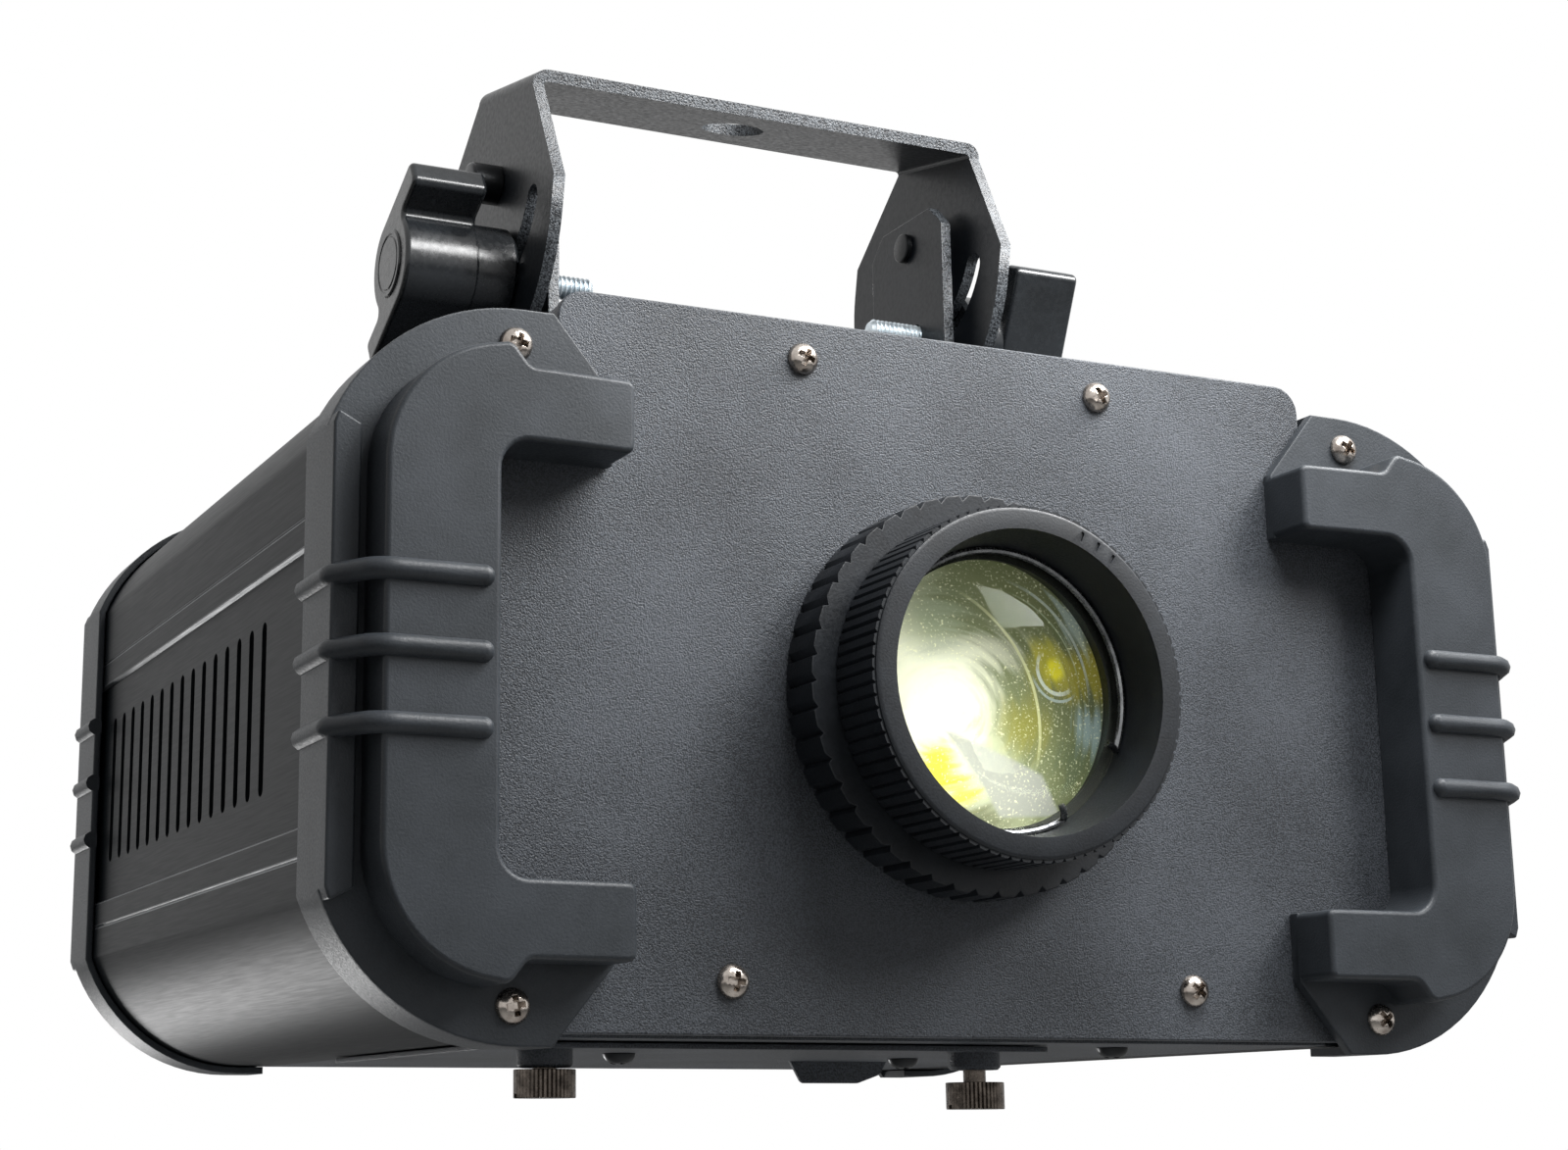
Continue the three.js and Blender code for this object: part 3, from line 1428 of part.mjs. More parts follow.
const rotor_front = strut_rear + gap;
const rotor_rear = fan_rear - fan_rotor_inset;
const blade_root = fan_hub_radius - fan_rotor_inset;
const blades = Array.from({ length: fan_blades }, (_, i) => {
  const length = fan_blade_radius - blade_root;
  const blade = new THREE.BoxGeometry(length, fan_blade_thickness, fan_blade_width);
  blade.rotateX(THREE.MathUtils.degToRad(fan_blade_angle));
  blade.translate(blade_root + length / 2, (rotor_front + rotor_rear) / 2, 0);
  return blade.rotateY((2 * Math.PI * i) / fan_blades);
});
const fan_rotor = joined(
  rod(fan_hub_radius, rotor_front, rotor_rear, 24),
  rod(pivot_hole_radius - running_gap, fan_front + gap, rotor_front + weld_depth, 24),
  ...blades,
).translate([fan_x, 0, 0]);
place("fan_rotor", fan_rotor, 0x1c1d1f, black_moulding);

const guard_wire_y = face_y + gap + wire_guard_radius;

function wireRing(radius) {
  const r = wire_guard_radius;
  const profile = [
    [radius - r, guard_wire_y],
    [radius, guard_wire_y - r],
    [radius + r, guard_wire_y],
    [radius, guard_wire_y + r],
  ];
  return turned(profile, 20).translate(fan_x, 0, 0);
}

const wire_rings = guard_ring_shares.map((share) => wireRing(fan_half_width * share));
const guard_arms = [45, 135].map((angle) => {
  const half = wire_guard_radius * wire_arm_share;
  const reach = fan_pitch * Math.SQRT2;
  const arm = box(-reach, reach, -half, half, -half, half);
  return arm.rotateY(THREE.MathUtils.degToRad(angle)).translate(fan_x, guard_wire_y, 0);
});
place("fan_guard", joined(...wire_rings, ...guard_arms), 0xb7bfc4, bare_metal);

// Rear panel and its fittings
const rear_inner = face_y - panel_thickness;
const rear_cut_front = rear_inner - overrun;
const rear_cut_rear = face_y + overrun;
const inlet_low = inlet_z - inlet_half_height;
const inlet_high = switch_z + inlet_body_rise_height;
const rear_panel = cut(
  slabY(panelOutline(), rear_inner, face_y),
  atFan(rod(fan_bore_radius, rear_cut_front, rear_cut_rear, 36)),
  box(
    inlet_x - inlet_half_width - gap,
    inlet_x + inlet_half_width + gap,
    rear_cut_front,
    rear_cut_rear,
    inlet_low - gap,
    inlet_high + gap,
  ),
  rod(dial_hole_radius, rear_cut_front, rear_cut_rear, 16).translate(inlet_x, 0, dial_z),
  ...panelHoles(rear_cut_front, rear_cut_rear),
);
place("rear_panel", rear_panel, 0x3a3c3f, { roughness: 0.8, metalness: 0.2 });

const inlet_face = face_y + gap + inlet_plate_thickness;
const socket_floor = inlet_face - socket_depth;
const rocker_y = inlet_face - rocker_inset;

function inletPin(x, z) {
  return box(
    inlet_x + x - pin_half_width,
    inlet_x + x + pin_half_width,
    socket_floor - overrun,
    inlet_face - pin_inset,
    inlet_z + z - pin_half_height,
    inlet_z + z + pin_half_height,
  );
}

const inlet_plate = box(
  inlet_x - inlet_plate_half_width,
  inlet_x + inlet_plate_half_width,
  face_y + gap,
  inlet_face,
  inlet_z - inlet_plate_drop_height,
  switch_z + inlet_plate_rise_height,
);
const inlet_body = box(
  inlet_x - inlet_half_width,
  inlet_x + inlet_half_width,
  socket_floor - socket_floor_thickness,
  inlet_face,
  inlet_low,
  inlet_high,
);
const socket_hollow = box(
  inlet_x - socket_half_width,
  inlet_x + socket_half_width,
  socket_floor,
  inlet_face + overrun,
  inlet_z - socket_half_height,
  inlet_z + socket_half_height,
);
const rocker_hollow = box(
  inlet_x - rocker_hole_half_width,
  inlet_x + rocker_hole_half_width,
  rocker_y - rocker_hole_half_width,
  inlet_face + overrun,
  switch_z - rocker_half_width - gap,
  switch_z + rocker_half_width + gap,
);
const power_inlet = joined(
  cut(joined(inlet_plate, inlet_body), socket_hollow, rocker_hollow),
  inletPin(-pin_spacing, -pin_drop_height),
  inletPin(0, pin_rise_height),
  inletPin(pin_spacing, -pin_drop_height),
);
place("power_inlet", power_inlet, 0x1a1b1c, black_moulding);

const rocker_lean = THREE.MathUtils.degToRad(-rocker_angle);
const rocker_foot = rocker_half_length - rocker_taper_width;
const rocker_path = [
  v(-rocker_half_length, rocker_horn_height),
  v(0, rocker_horn_height / 2),
  v(rocker_half_length, rocker_horn_height),
  v(rocker_foot, -rocker_depth),
  v(-rocker_foot, -rocker_depth),
].map((p) => p.rotateAround(v(0, 0), rocker_lean).add(v(inlet_x, rocker_y)));
const rocker = slabZ(rocker_path, switch_z - rocker_half_width, switch_z + rocker_half_width);
place("switch_rocker", rocker, 0x8c1d1d, { roughness: 0.35 });

const dial_base = face_y + gap;
const dial_end = dial_base + dial_height + dial_edge_height;
const speed_knob = turned(
  [
    [0, rear_inner - dial_shaft_length],
    [dial_shaft_radius, rear_inner - dial_shaft_length],
    [dial_shaft_radius, dial_base],
    [dial_radius, dial_base],
    [dial_radius * dial_radius_shares[0], dial_base + dial_height],
    [dial_radius * dial_radius_shares[1], dial_end],
    [0, dial_end],
  ],
  24,
).translate(inlet_x, 0, dial_z);
const dial_mark = box(
  inlet_x - dial_mark_half_width,
  inlet_x + dial_mark_half_width,
  dial_base + dial_mark_start_height,
  dial_end + dial_mark_half_width,
  dial_z,
  dial_z + dial_radius,
);
place("speed_knob", joined(speed_knob, dial_mark), 0x202224, black_moulding);

// Underside
const bottom_face = -flange_face;
const cover_top = bottom_face - access_gap;
const cover_bottom = cover_top - access_thickness;
const plate_bottom = -sheet_thickness - overrun;
const thumb_hole_radius = thumb_neck_radius + thumb_hole_gap;
const bottom_screw_at = [cover_right + bottom_screw_gap_x, thumb_y + bottom_screw_gap_y];
const bottom_holes = [thumb_left_x, thumb_right_x].map((x) =>
  alongZ(rod(thumb_hole_radius, plate_bottom, overrun, 16), x, thumb_y, -sheet_inner),
);
const screw_rod = rod(screw_hole_radius, plate_bottom, overrun, 10);
const screw_hole = alongZ(screw_rod, ...bottom_screw_at, -sheet_inner);
const bottom_window = box(
  window_left,
  window_right,
  window_front,
  window_rear,
  bottom_face - overrun,
  -sheet_inner + overrun,
);
const bottom_plate = cut(
  joined(
    box(-cover_half_width, cover_half_width, sheet_y0, sheet_y1, bottom_face, -sheet_inner),
    ...folds(-sheet_inner - sheet_thickness / 2, fold_bottom_z),
  ),
  ...foldHoles(-1),
  bottom_window,
  ...bottom_holes,
  screw_hole,
);
place("bottom_plate", bottom_plate, 0x3a3c3f, { roughness: 0.8, metalness: 0.2 });

const collar_bottom = cover_bottom - collar_height;

function thumbHole(x) {
  const reach = collar_height + access_thickness + overrun;
  return alongZ(rod(thumb_neck_radius + running_gap, -reach, overrun, 24), x, thumb_y, cover_top);
}

const lip_left = cover_right - lip_right_inset - lip_width;
const lip_y = window_rear - lip_rear_inset;
const lip_path = lip_x_shares.map((share, i) => {
  const drop = lip_height_shares[i] > 0 ? lip_height * lip_height_shares[i] : -weld_depth;
  return v(lip_left + lip_width * share, cover_bottom - drop);
});
const pull_lip = slabY(lip_path, lip_y, lip_y + access_thickness);
const collars = [thumb_left_x, thumb_right_x].map((x) =>
  alongZ(rod(collar_radius, -collar_height, weld_depth, 20), x, thumb_y, cover_bottom),
);
const access_sheet = box(cover_left, cover_right, access_front, cover_rear, cover_bottom, cover_top);
const access_cover = cut(
  joined(access_sheet, ...collars, pull_lip),
  thumbHole(thumb_left_x),
  thumbHole(thumb_right_x),
);
place("access_cover", access_cover, 0x3a3c3f, { roughness: 0.8, metalness: 0.2 });

function thumbScrew() {
  const neck_length = -sheet_inner - collar_bottom;
  const neck = alongZ(rod(thumb_neck_radius, -weld_depth, neck_length, 24), 0, 0, 0);
  const head = slabZ(toothed(knurl_radius, knurl_radius * knurl_root_share, knurl_teeth), -knurl_height, 0);
  const reach = knurl_radius + overrun;
  const slot = box(
    -reach,
    reach,
    -thumb_slot_half_width,
    thumb_slot_half_width,
    -knurl_height - overrun,
    -knurl_height + thumb_slot_depth,
  );
  return cut(joined(neck, head), slot);
}

for (const [suffix, x, loose] of [
  ["left", thumb_left_x, thumb_left_gap],
  ["right", thumb_right_x, thumb_right_gap],
]) {
  const body = thumbScrew().translate([x, thumb_y, collar_bottom - loose]);
  place("thumb_screw_" + suffix, body, 0x4b4743, bare_metal);
}

const bottom_screw = geometryOf(panScrew(sheet_thickness)).rotateX(Math.PI / 2);
place("bottom_screw", bottom_screw.translate(...bottom_screw_at, bottom_face), 0x6b6b6b, bare_metal);

export default group;
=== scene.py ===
import json
import math

import bmesh
import bpy
from mathutils import Matrix, Vector


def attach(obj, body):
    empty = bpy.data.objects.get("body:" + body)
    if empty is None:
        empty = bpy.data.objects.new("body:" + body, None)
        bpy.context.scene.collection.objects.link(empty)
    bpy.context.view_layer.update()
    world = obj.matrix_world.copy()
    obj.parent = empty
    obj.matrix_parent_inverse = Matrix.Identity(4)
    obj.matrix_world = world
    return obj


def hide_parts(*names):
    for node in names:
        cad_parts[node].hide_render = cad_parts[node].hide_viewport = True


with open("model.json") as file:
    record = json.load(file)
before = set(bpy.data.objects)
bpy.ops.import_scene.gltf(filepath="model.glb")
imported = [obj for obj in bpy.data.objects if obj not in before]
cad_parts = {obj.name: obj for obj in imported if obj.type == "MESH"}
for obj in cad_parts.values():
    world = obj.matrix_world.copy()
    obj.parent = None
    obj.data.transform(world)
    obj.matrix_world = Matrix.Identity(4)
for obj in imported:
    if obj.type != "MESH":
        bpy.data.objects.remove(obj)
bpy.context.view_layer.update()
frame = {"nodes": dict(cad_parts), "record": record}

# Lengths are in mm in the housing's own layout: y = 0 on the front panel's face, z = 0 on the lens axis.
MM = 0.001
PIVOT = Vector((0, 110.5, 144))
CLAMP = PIVOT - Vector((0, 3.8, 25.8))
YOKE_LEAN = math.radians(12.5)
YOKE_TOP = 27
HANG = PIVOT + Vector((0, -YOKE_TOP * math.sin(YOKE_LEAN), YOKE_TOP * math.cos(YOKE_LEAN)))
TO_ROW = Matrix.Scale(MM, 4) @ Matrix.Translation(-HANG)
DEPTH = 204.6
HALF_HEIGHT = 72.6
HALF_WIDTH = 141.05
CORNER = 42.6
CORNER_X = 101
CORNER_Z = HALF_HEIGHT - CORNER
PANEL = 2.5
SHEET = 1.5
FLANGE_END = 92
GAP = 0.3
FRONT = PANEL + GAP
REAR = DEPTH - FRONT
OVERRUN = 3
SMOOTH_ANGLE = math.radians(38)
FINE_TURN = 96
MERGE = 1e-4

scene = bpy.context.scene


def placed(name, data):
    """A new object in the scene for a mesh, curve, lamp or camera."""
    made = bpy.data.objects.new(name, data)
    scene.collection.objects.link(made)
    return made


# Shapes
def outline(corners, steps=5):
    """A closed outline from corners (u, v, radius), each one rounded to its radius."""
    points = []
    for i, (u, v, radius) in enumerate(corners):
        here = Vector((u, v))
        before = Vector(corners[i - 1][:2]) - here
        after = Vector(corners[(i + 1) % len(corners)][:2]) - here
        if radius == 0:
            points.append(here)
            continue
        before.normalize()
        after.normalize()
        half = before.angle(after) / 2
        centre = here + (before + after).normalized() * radius / math.sin(half)
        first = here + before * radius / math.tan(half) - centre
        last = here + after * radius / math.tan(half) - centre
        sweep = first.angle_signed(last)
        for k in range(steps + 1):
            points.append(centre + Matrix.Rotation(-sweep * k / steps, 2) @ first)
    return points


def rectangle(u, v, radius=0.0, steps=5):
    """The outline of a rectangle between pairs of u and v, with round corners."""
    corners = ((u[0], v[0]), (u[1], v[0]), (u[1], v[1]), (u[0], v[1]))
    return outline([(*corner, radius) for corner in corners], steps)


def arc(u, v, radius, start, end, steps):
    """Points of an arc about (u, v), from one angle to another in degrees."""
    turn = [math.radians(start + (end - start) * k / steps) for k in range(steps + 1)]
    return [Vector((u + radius * math.cos(a), v + radius * math.sin(a))) for a in turn]


def prism(points, low, high, axis="Y"):
    """An outline in (x, z), (y, z) or (x, y) made solid along Y, X or Z."""
    order = {"X": (2, 0, 1), "Y": (0, 2, 1), "Z": (0, 1, 2)}[axis]

    def spread(u, v, level):
        return [(u, v, level)[i] for i in order]

    bm = bmesh.new()
    face = bm.faces.new([bm.verts.new(spread(u, v, low)) for u, v in points])
    grown = bmesh.ops.extrude_face_region(bm, geom=[face])
    far = [v for v in grown["geom"] if isinstance(v, bmesh.types.BMVert)]
    bmesh.ops.translate(bm, vec=spread(0, 0, high - low), verts=far)
    bmesh.ops.recalc_face_normals(bm, faces=bm.faces)
    return bm


def moved(bm, matrix):
    bmesh.ops.transform(bm, matrix=matrix, verts=bm.verts)
    return bm


def spun(degrees, axis="Y"):
    return Matrix.Rotation(math.radians(degrees), 4, axis)


def turned(profile, steps=FINE_TURN, axis="Y", at=(0, 0, 0), closed=False):
    """A profile of (radius, along) spun about an axis through a point."""
    bm = bmesh.new()
    verts = [bm.verts.new((r, a, 0)) for r, a in profile]
    chain = list(zip(verts, verts[1:] + verts[:1])) if closed else list(zip(verts, verts[1:]))
    edges = [bm.edges.new(pair) for pair in chain]
    bmesh.ops.spin(
        bm, geom=verts + edges, cent=(0, 0, 0), axis=(0, 1, 0), dvec=(0, 0, 0),
        angle=math.tau, steps=steps, use_merge=True,
    )
    bmesh.ops.remove_doubles(bm, verts=bm.verts, dist=MERGE)
    bmesh.ops.recalc_face_normals(bm, faces=bm.faces)
    turn = {
        "Y": Matrix.Identity(4),
        "X": spun(-90, "Z"),
        "Z": spun(90, "X"),
    }[axis]
    return moved(bm, Matrix.Translation(at) @ turn)


def rod(radius, low, high, axis="Y", at=(0, 0, 0), steps=32):
    return turned([(0, low), (radius, low), (radius, high), (0, high)], steps, axis, at)


def toothed(radius, depth, teeth, shares):
    """A gear-like outline whose tooth top lies between the two shares of each pitch."""
    points = []
    for i in range(teeth):
        for share, r in ((0, radius - depth), (shares[0], radius), (shares[1], radius)):
            angle = math.tau * (i + share) / teeth
            points.append((r * math.cos(angle), r * math.sin(angle)))
    return points


def soften(bm, size, segments=3, where=None, limit=30):
    """Round the sharp edges that pass the test, or all of them."""
    sharp = [e for e in bm.edges if len(e.link_faces) == 2 and e.calc_face_angle(0) > math.radians(limit)]
    edges = [e for e in sharp if where is None or where(e)]
    bmesh.ops.bevel(
        bm, geom=edges, offset=size, offset_type="OFFSET", affect="EDGES",
        segments=segments, profile=0.5, material=-1, clamp_overlap=True,
    )
    return bm


def at_y(edge, y, slack=0.01):
    return all(abs(v.co.y - y) < slack for v in edge.verts)


def held(bm):
    """A loose object that holds a shape while modifiers work on it."""
    mesh = bpy.data.meshes.new("held")
    bm.to_mesh(mesh)
    bm.free()
    return placed("held", mesh)


def final_shape(made, *tools):
    """What a loose object looks like after its modifiers. It is removed with its tools."""
    bpy.context.view_layer.update()
    result = made.evaluated_get(bpy.context.evaluated_depsgraph_get())
    bm = bmesh.new()
    bm.from_mesh(result.to_mesh())
    for used in (made, *tools):
        bpy.data.objects.remove(used)
    bmesh.ops.remove_doubles(bm, verts=bm.verts, dist=MERGE)
    return bm


def combined(base, joins=(), cuts=(), meets=()):
    """One solid from a base, the solids joined to it, cut from it, or kept in common with it."""
    main = held(base)
    tools = []
    for operation, solids in (("INTERSECT", meets), ("UNION", joins), ("DIFFERENCE", cuts)):
        for solid in solids:
            tool = held(solid)
            tools.append(tool)
            step = main.modifiers.new("step", "BOOLEAN")
            step.operation = operation
            step.solver = "EXACT"
            step.object = tool
    return final_shape(main, *tools)


def copied(bm, matrix):
    """A copy of a shape, moved by a matrix and turned right side out if the matrix mirrors it."""
    twin = moved(bm.copy(), matrix)
    if matrix.determinant() < 0:
        bmesh.ops.reverse_faces(twin, faces=twin.faces)
    return twin


FLIP_X = Matrix.Diagonal((-1, 1, 1, 1))
FLIP_Y = Matrix.Translation((0, DEPTH, 0)) @ Matrix.Diagonal((1, -1, 1, 1))
LEFT_FIRST = (("left", Matrix.Identity(4)), ("right", FLIP_X))


def piece(name, bm, body, slot, *finishes, stands_for=()):
    """Put a finished shape into the row frame and hand it to the frame."""
    mesh = bpy.data.meshes.new(name)
    moved(bm, TO_ROW).to_mesh(mesh)
    bm.free()
    for material in finishes:
        mesh.materials.append(material)
    mesh.polygons.foreach_set("use_smooth", [True] * len(mesh.polygons))
    mesh.set_sharp_from_angle(angle=SMOOTH_ANGLE)
    made = placed(name, mesh)
    made.modifiers.new("weighted", "WEIGHTED_NORMAL").keep_sharp = True
    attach(made, body)
    if stands_for:
        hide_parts(*stands_for)


# Materials
def linear(colour):
    """An sRGB hex colour as linear RGBA."""
    parts = [int(colour[i:i + 2], 16) / 255 for i in (1, 3, 5)]
    return [p / 12.92 if p <= 0.04045 else ((p + 0.055) / 1.055) ** 2.4 for p in parts] + [1]


def feed(tree, node, inputs):
    """Give a node's inputs values, or links from a socket or from another node's first output."""
    for socket, value in inputs.items():
        if isinstance(value, bpy.types.Node):
            value = value.outputs[0]
        if isinstance(value, bpy.types.NodeSocket):
            tree.links.new(value, node.inputs[socket])
        else:
            node.inputs[socket].default_value = value


def add(tree, kind, inputs=None, **settings):
    """Add a shader node with its inputs and settings."""
    made = tree.nodes.new("ShaderNode" + kind)
    for name, value in settings.items():
        setattr(made, name, value)
    feed(tree, made, inputs or {})
    return made


def maths(tree, operation, *values, kind="Math"):
    return add(tree, kind, dict(enumerate(values)), operation=operation)


def ranged(tree, value, source, target=(0.0, 1.0), **settings):
    """A value taken from one range to another, and held at the ends."""
    ends = {"From Min": source[0], "From Max": source[1], "To Min": target[0], "To Max": target[1]}
    return add(tree, "MapRange", {"Value": value, **ends}, **settings)


def per(size_mm):
    """The noise scale that gives a pattern of this size in mm."""
    return 1 / (size_mm * MM)


def blank(name):
    """A new material, its node tree and its shader."""
    material = bpy.data.materials.new(name)
    material.use_nodes = True
    return material, material.node_tree, material.node_tree.nodes["Principled BSDF"]


# The span that most of a noise's values lie in, and the narrower one of its middle values.
NOISE_SPAN = (0.3, 0.7)
NOISE_MIDDLE = (0.45, 0.55)


def surface(
    name, dark, light, patch_mm, grain_mm, grain_height_mm, roughness, metallic=0.0,
    stretch=(1, 1, 1), speckle=0.0, **fixed,
):
    """A solid finish: patches between two colours, and a grain that shows in relief and in gloss."""
    material, tree, shader = blank(name)
    spots = add(tree, "TexCoord").outputs["Object"]
    spots = add(tree, "Mapping", {"Vector": spots, "Scale": stretch})
    patch = add(tree, "TexNoise", {"Vector": spots, "Scale": per(patch_mm), "Detail": 4.0})
    grain = add(tree, "TexNoise", {
        "Vector": spots, "Scale": per(grain_mm), "Detail": 1.5, "Roughness": 0.55,
    })
    mixed = maths(tree, "MULTIPLY_ADD", grain, speckle, patch)
    tint = ranged(tree, mixed, [end + speckle * middle for end, middle in zip(NOISE_SPAN, NOISE_MIDDLE)])
    colour = add(tree, "Mix", {"Factor": tint, 6: linear(dark), 7: linear(light)}, data_type="RGBA")
    feed(tree, shader, {
        "Base Color": colour.outputs[2],
        "Metallic": metallic,
        "Roughness": ranged(tree, grain, NOISE_SPAN, roughness),
        "Normal": add(tree, "Bump", {"Height": grain, "Distance": grain_height_mm * MM, "Strength": 1.0}),
        **{socket.replace("_", " "): value for socket, value in fixed.items()},
    })
    return material


# Powder-coated steel sheet: a sprayed sand texture, its grains under 1 mm apart, that glints in specks.
powder_coat = surface(
    "powder_coated_steel", "#26292d", "#4c5056", 40, 0.36, 0.2, (0.36, 0.6), speckle=1.6, IOR=1.36,
)
# Glass-filled nylon moulding: satin black with a fine spark-eroded grain, slightly mottled.
nylon = surface(
    "moulded_nylon", "#262a2e", "#363a3f", 14, 0.5, 0.05, (0.4, 0.54), speckle=0.4, IOR=1.35
)
# Anodised aluminium extrusion: satin black with faint die lines along its length.
DIE_LINES = (1, 0.03, 1)
extrusion = surface(
    "black_anodised_extrusion", "#14171a", "#191c1f", 12, 0.4, 0.003, (0.42, 0.47), stretch=DIE_LINES,
    IOR=1.16,
)
# The extrusion's ridges, painted lighter as fine pale lines: painted highlights where the ridge edges catch
# the light.
ridge_painted_highlight = surface(
    "anodising_with_painted_ridge_highlight", "#3c3f42", "#5a5e62", 6, 0.4, 0.003, (0.36, 0.46), 0.2, stretch=DIE_LINES,
)
# Wet-painted flat steel: semi-gloss black with light orange peel.
paint = surface(
    "gloss_painted_steel", "#14171b", "#1c2025", 18, 1.2, 0.02, (0.3, 0.42), Specular_IOR_Level=0.25
)
# The sheared edges of the painted steel, where the coat is thin: real wear, with lighter speckles that are
# painted glints of the rough shear.
worn_edge_painted_glints = surface(
    "worn_edge_with_painted_glints", "#15171a", "#4e5256", 2, 0.5, 0.2, (0.28, 0.5), speckle=1.8, Specular_IOR_Level=0.4
)
# Blackened steel bolts with an oiled sheen.
black_steel = surface("blackened_steel", "#0f1113", "#1e2023", 5, 0.6, 0.02, (0.28, 0.42), 0.6)
# Polished ABS knobs: deep black with a high gloss and faint handling marks.
gloss_moulding = surface("polished_abs", "#17191b", "#222528", 12, 1.5, 0.012, (0.2, 0.32))
# Satin ABS lens rings: black, slightly grey where knurls are rubbed.
ring_moulding = surface(
    "satin_abs", "#0f1216", "#1c2025", 7, 0.5, 0.04, (0.38, 0.54), speckle=0.6,
    Specular_IOR_Level=0.32,
)
# Heat-resistant moulding: matt black with a dry grain.
hot_moulding = surface("filled_polyphenylene", "#17181a", "#242527", 9, 0.5, 0.03, (0.5, 0.65), IOR=1.6)
# Nickel-plated steel screws: warm bright metal, lightly scuffed.
nickel = surface("nickel_plated_steel", "#857c75", "#c4bcb4", 2.5, 0.4, 0.01, (0.14, 0.3), 1.0)
# Dark nickel thumb screws: smoky metal with bright worn knurls.
dark_nickel = surface("black_nickel_plating", "#38332f", "#69615a", 2, 0.4, 0.01, (0.22, 0.4), 1.0)
# Zinc-plated steel: pale blue-white metal.
zinc = surface("blue_zinc_plating", "#b4bfc6", "#dfe8ed", 2.5, 0.4, 0.01, (0.3, 0.46), 0.85)
# Spring steel wire, drawn and lightly oiled.
spring_steel = surface("spring_steel_wire", "#5a5c5e", "#939596", 3, 0.4, 0.005, (0.2, 0.35), 1.0)
# Zinc-coated steel sheet: dull bright metal with cloudy spangle.
coated_sheet = surface("zinc_coated_sheet", "#9a9d9f", "#bfc2c4", 6, 1.2, 0.01, (0.32, 0.5), 1.0)
# Stainless steel etched through: fine matt grey metal.
etched_steel = surface("etched_stainless", "#8f9192", "#b4b6b7", 5, 0.3, 0.01, (0.3, 0.45), 1.0)
# Turned and extruded aluminium left bare: pale metal with fine tool lines.
bare_aluminium = surface(
    "bare_aluminium", "#a7a9ab", "#cccecf", 8, 0.4, 0.01, (0.3, 0.46), 1.0, stretch=(1, 0.2, 1),
)
# Nitrile rubber tyre: matt black, dusty in its grain.
rubber = surface("nitrile_rubber", "#121212", "#232323", 4, 0.5, 0.05, (0.7, 0.85))
# White solder mask over an aluminium board: warm white, slightly glossy.
white_mask = surface("white_solder_mask", "#d8d3bd", "#ece8d6", 10, 0.6, 0.01, (0.3, 0.42), IOR=1.55)
# Glass-epoxy circuit board under green solder mask, with a faint weave.
green_mask = surface("glass_epoxy_board", "#173c27", "#23553a", 5, 0.7, 0.02, (0.28, 0.4), IOR=1.55)
# Glass-filled PBT fan: matt black with a slight bloom.
fan_moulding = surface("glass_filled_pbt", "#141516", "#202122", 10, 0.6, 0.03, (0.42, 0.56))
# Polycarbonate rocker: clean red, deep gloss.
red_moulding = surface("red_polycarbonate", "#6d0f12", "#8c1a1c", 6, 0.8, 0.005, (0.16, 0.24), IOR=1.58)
# White pad print on the dial.
white_ink = surface("white_pad_print", "#c9c9c5", "#dededb", 2, 0.3, 0.004, (0.45, 0.6))


def clear_glass(name, tint, roughness, mirror):
    """Glass that lets light through to what lies behind it."""
    material, tree, shader = blank(name)
    spots = add(tree, "TexCoord").outputs["Object"]
    dust = add(tree, "TexNoise", {"Vector": spots, "Scale": per(0.7), "Detail": 3.0})
    feed(tree, shader, {
        "Base Color": linear(tint),
        "Specular Tint": linear(mirror),
        "Transmission Weight": 1.0,
        "Roughness": ranged(tree, dust, (0.55, 0.75), roughness),
    })
    shadow = add(tree, "LightPath").outputs["Is Shadow Ray"]
    through = add(tree, "BsdfTransparent", {"Color": linear(tint)})
    either = add(tree, "MixShader", {0: shadow, 1: shader, 2: through})
    feed(tree, tree.nodes["Material Output"], {"Surface": either})
    return material


# The front lens: crown glass with a faint yellow-green antireflection cast and a little dust.
glass = clear_glass("coated_crown_glass", "#fbfcf2", (0.0, 0.1), "#3a4433")
# The condenser: plain pressed glass.
pressed_glass = clear_glass("pressed_glass", "#eef5f6", (0.02, 0.2), "#ffffff")


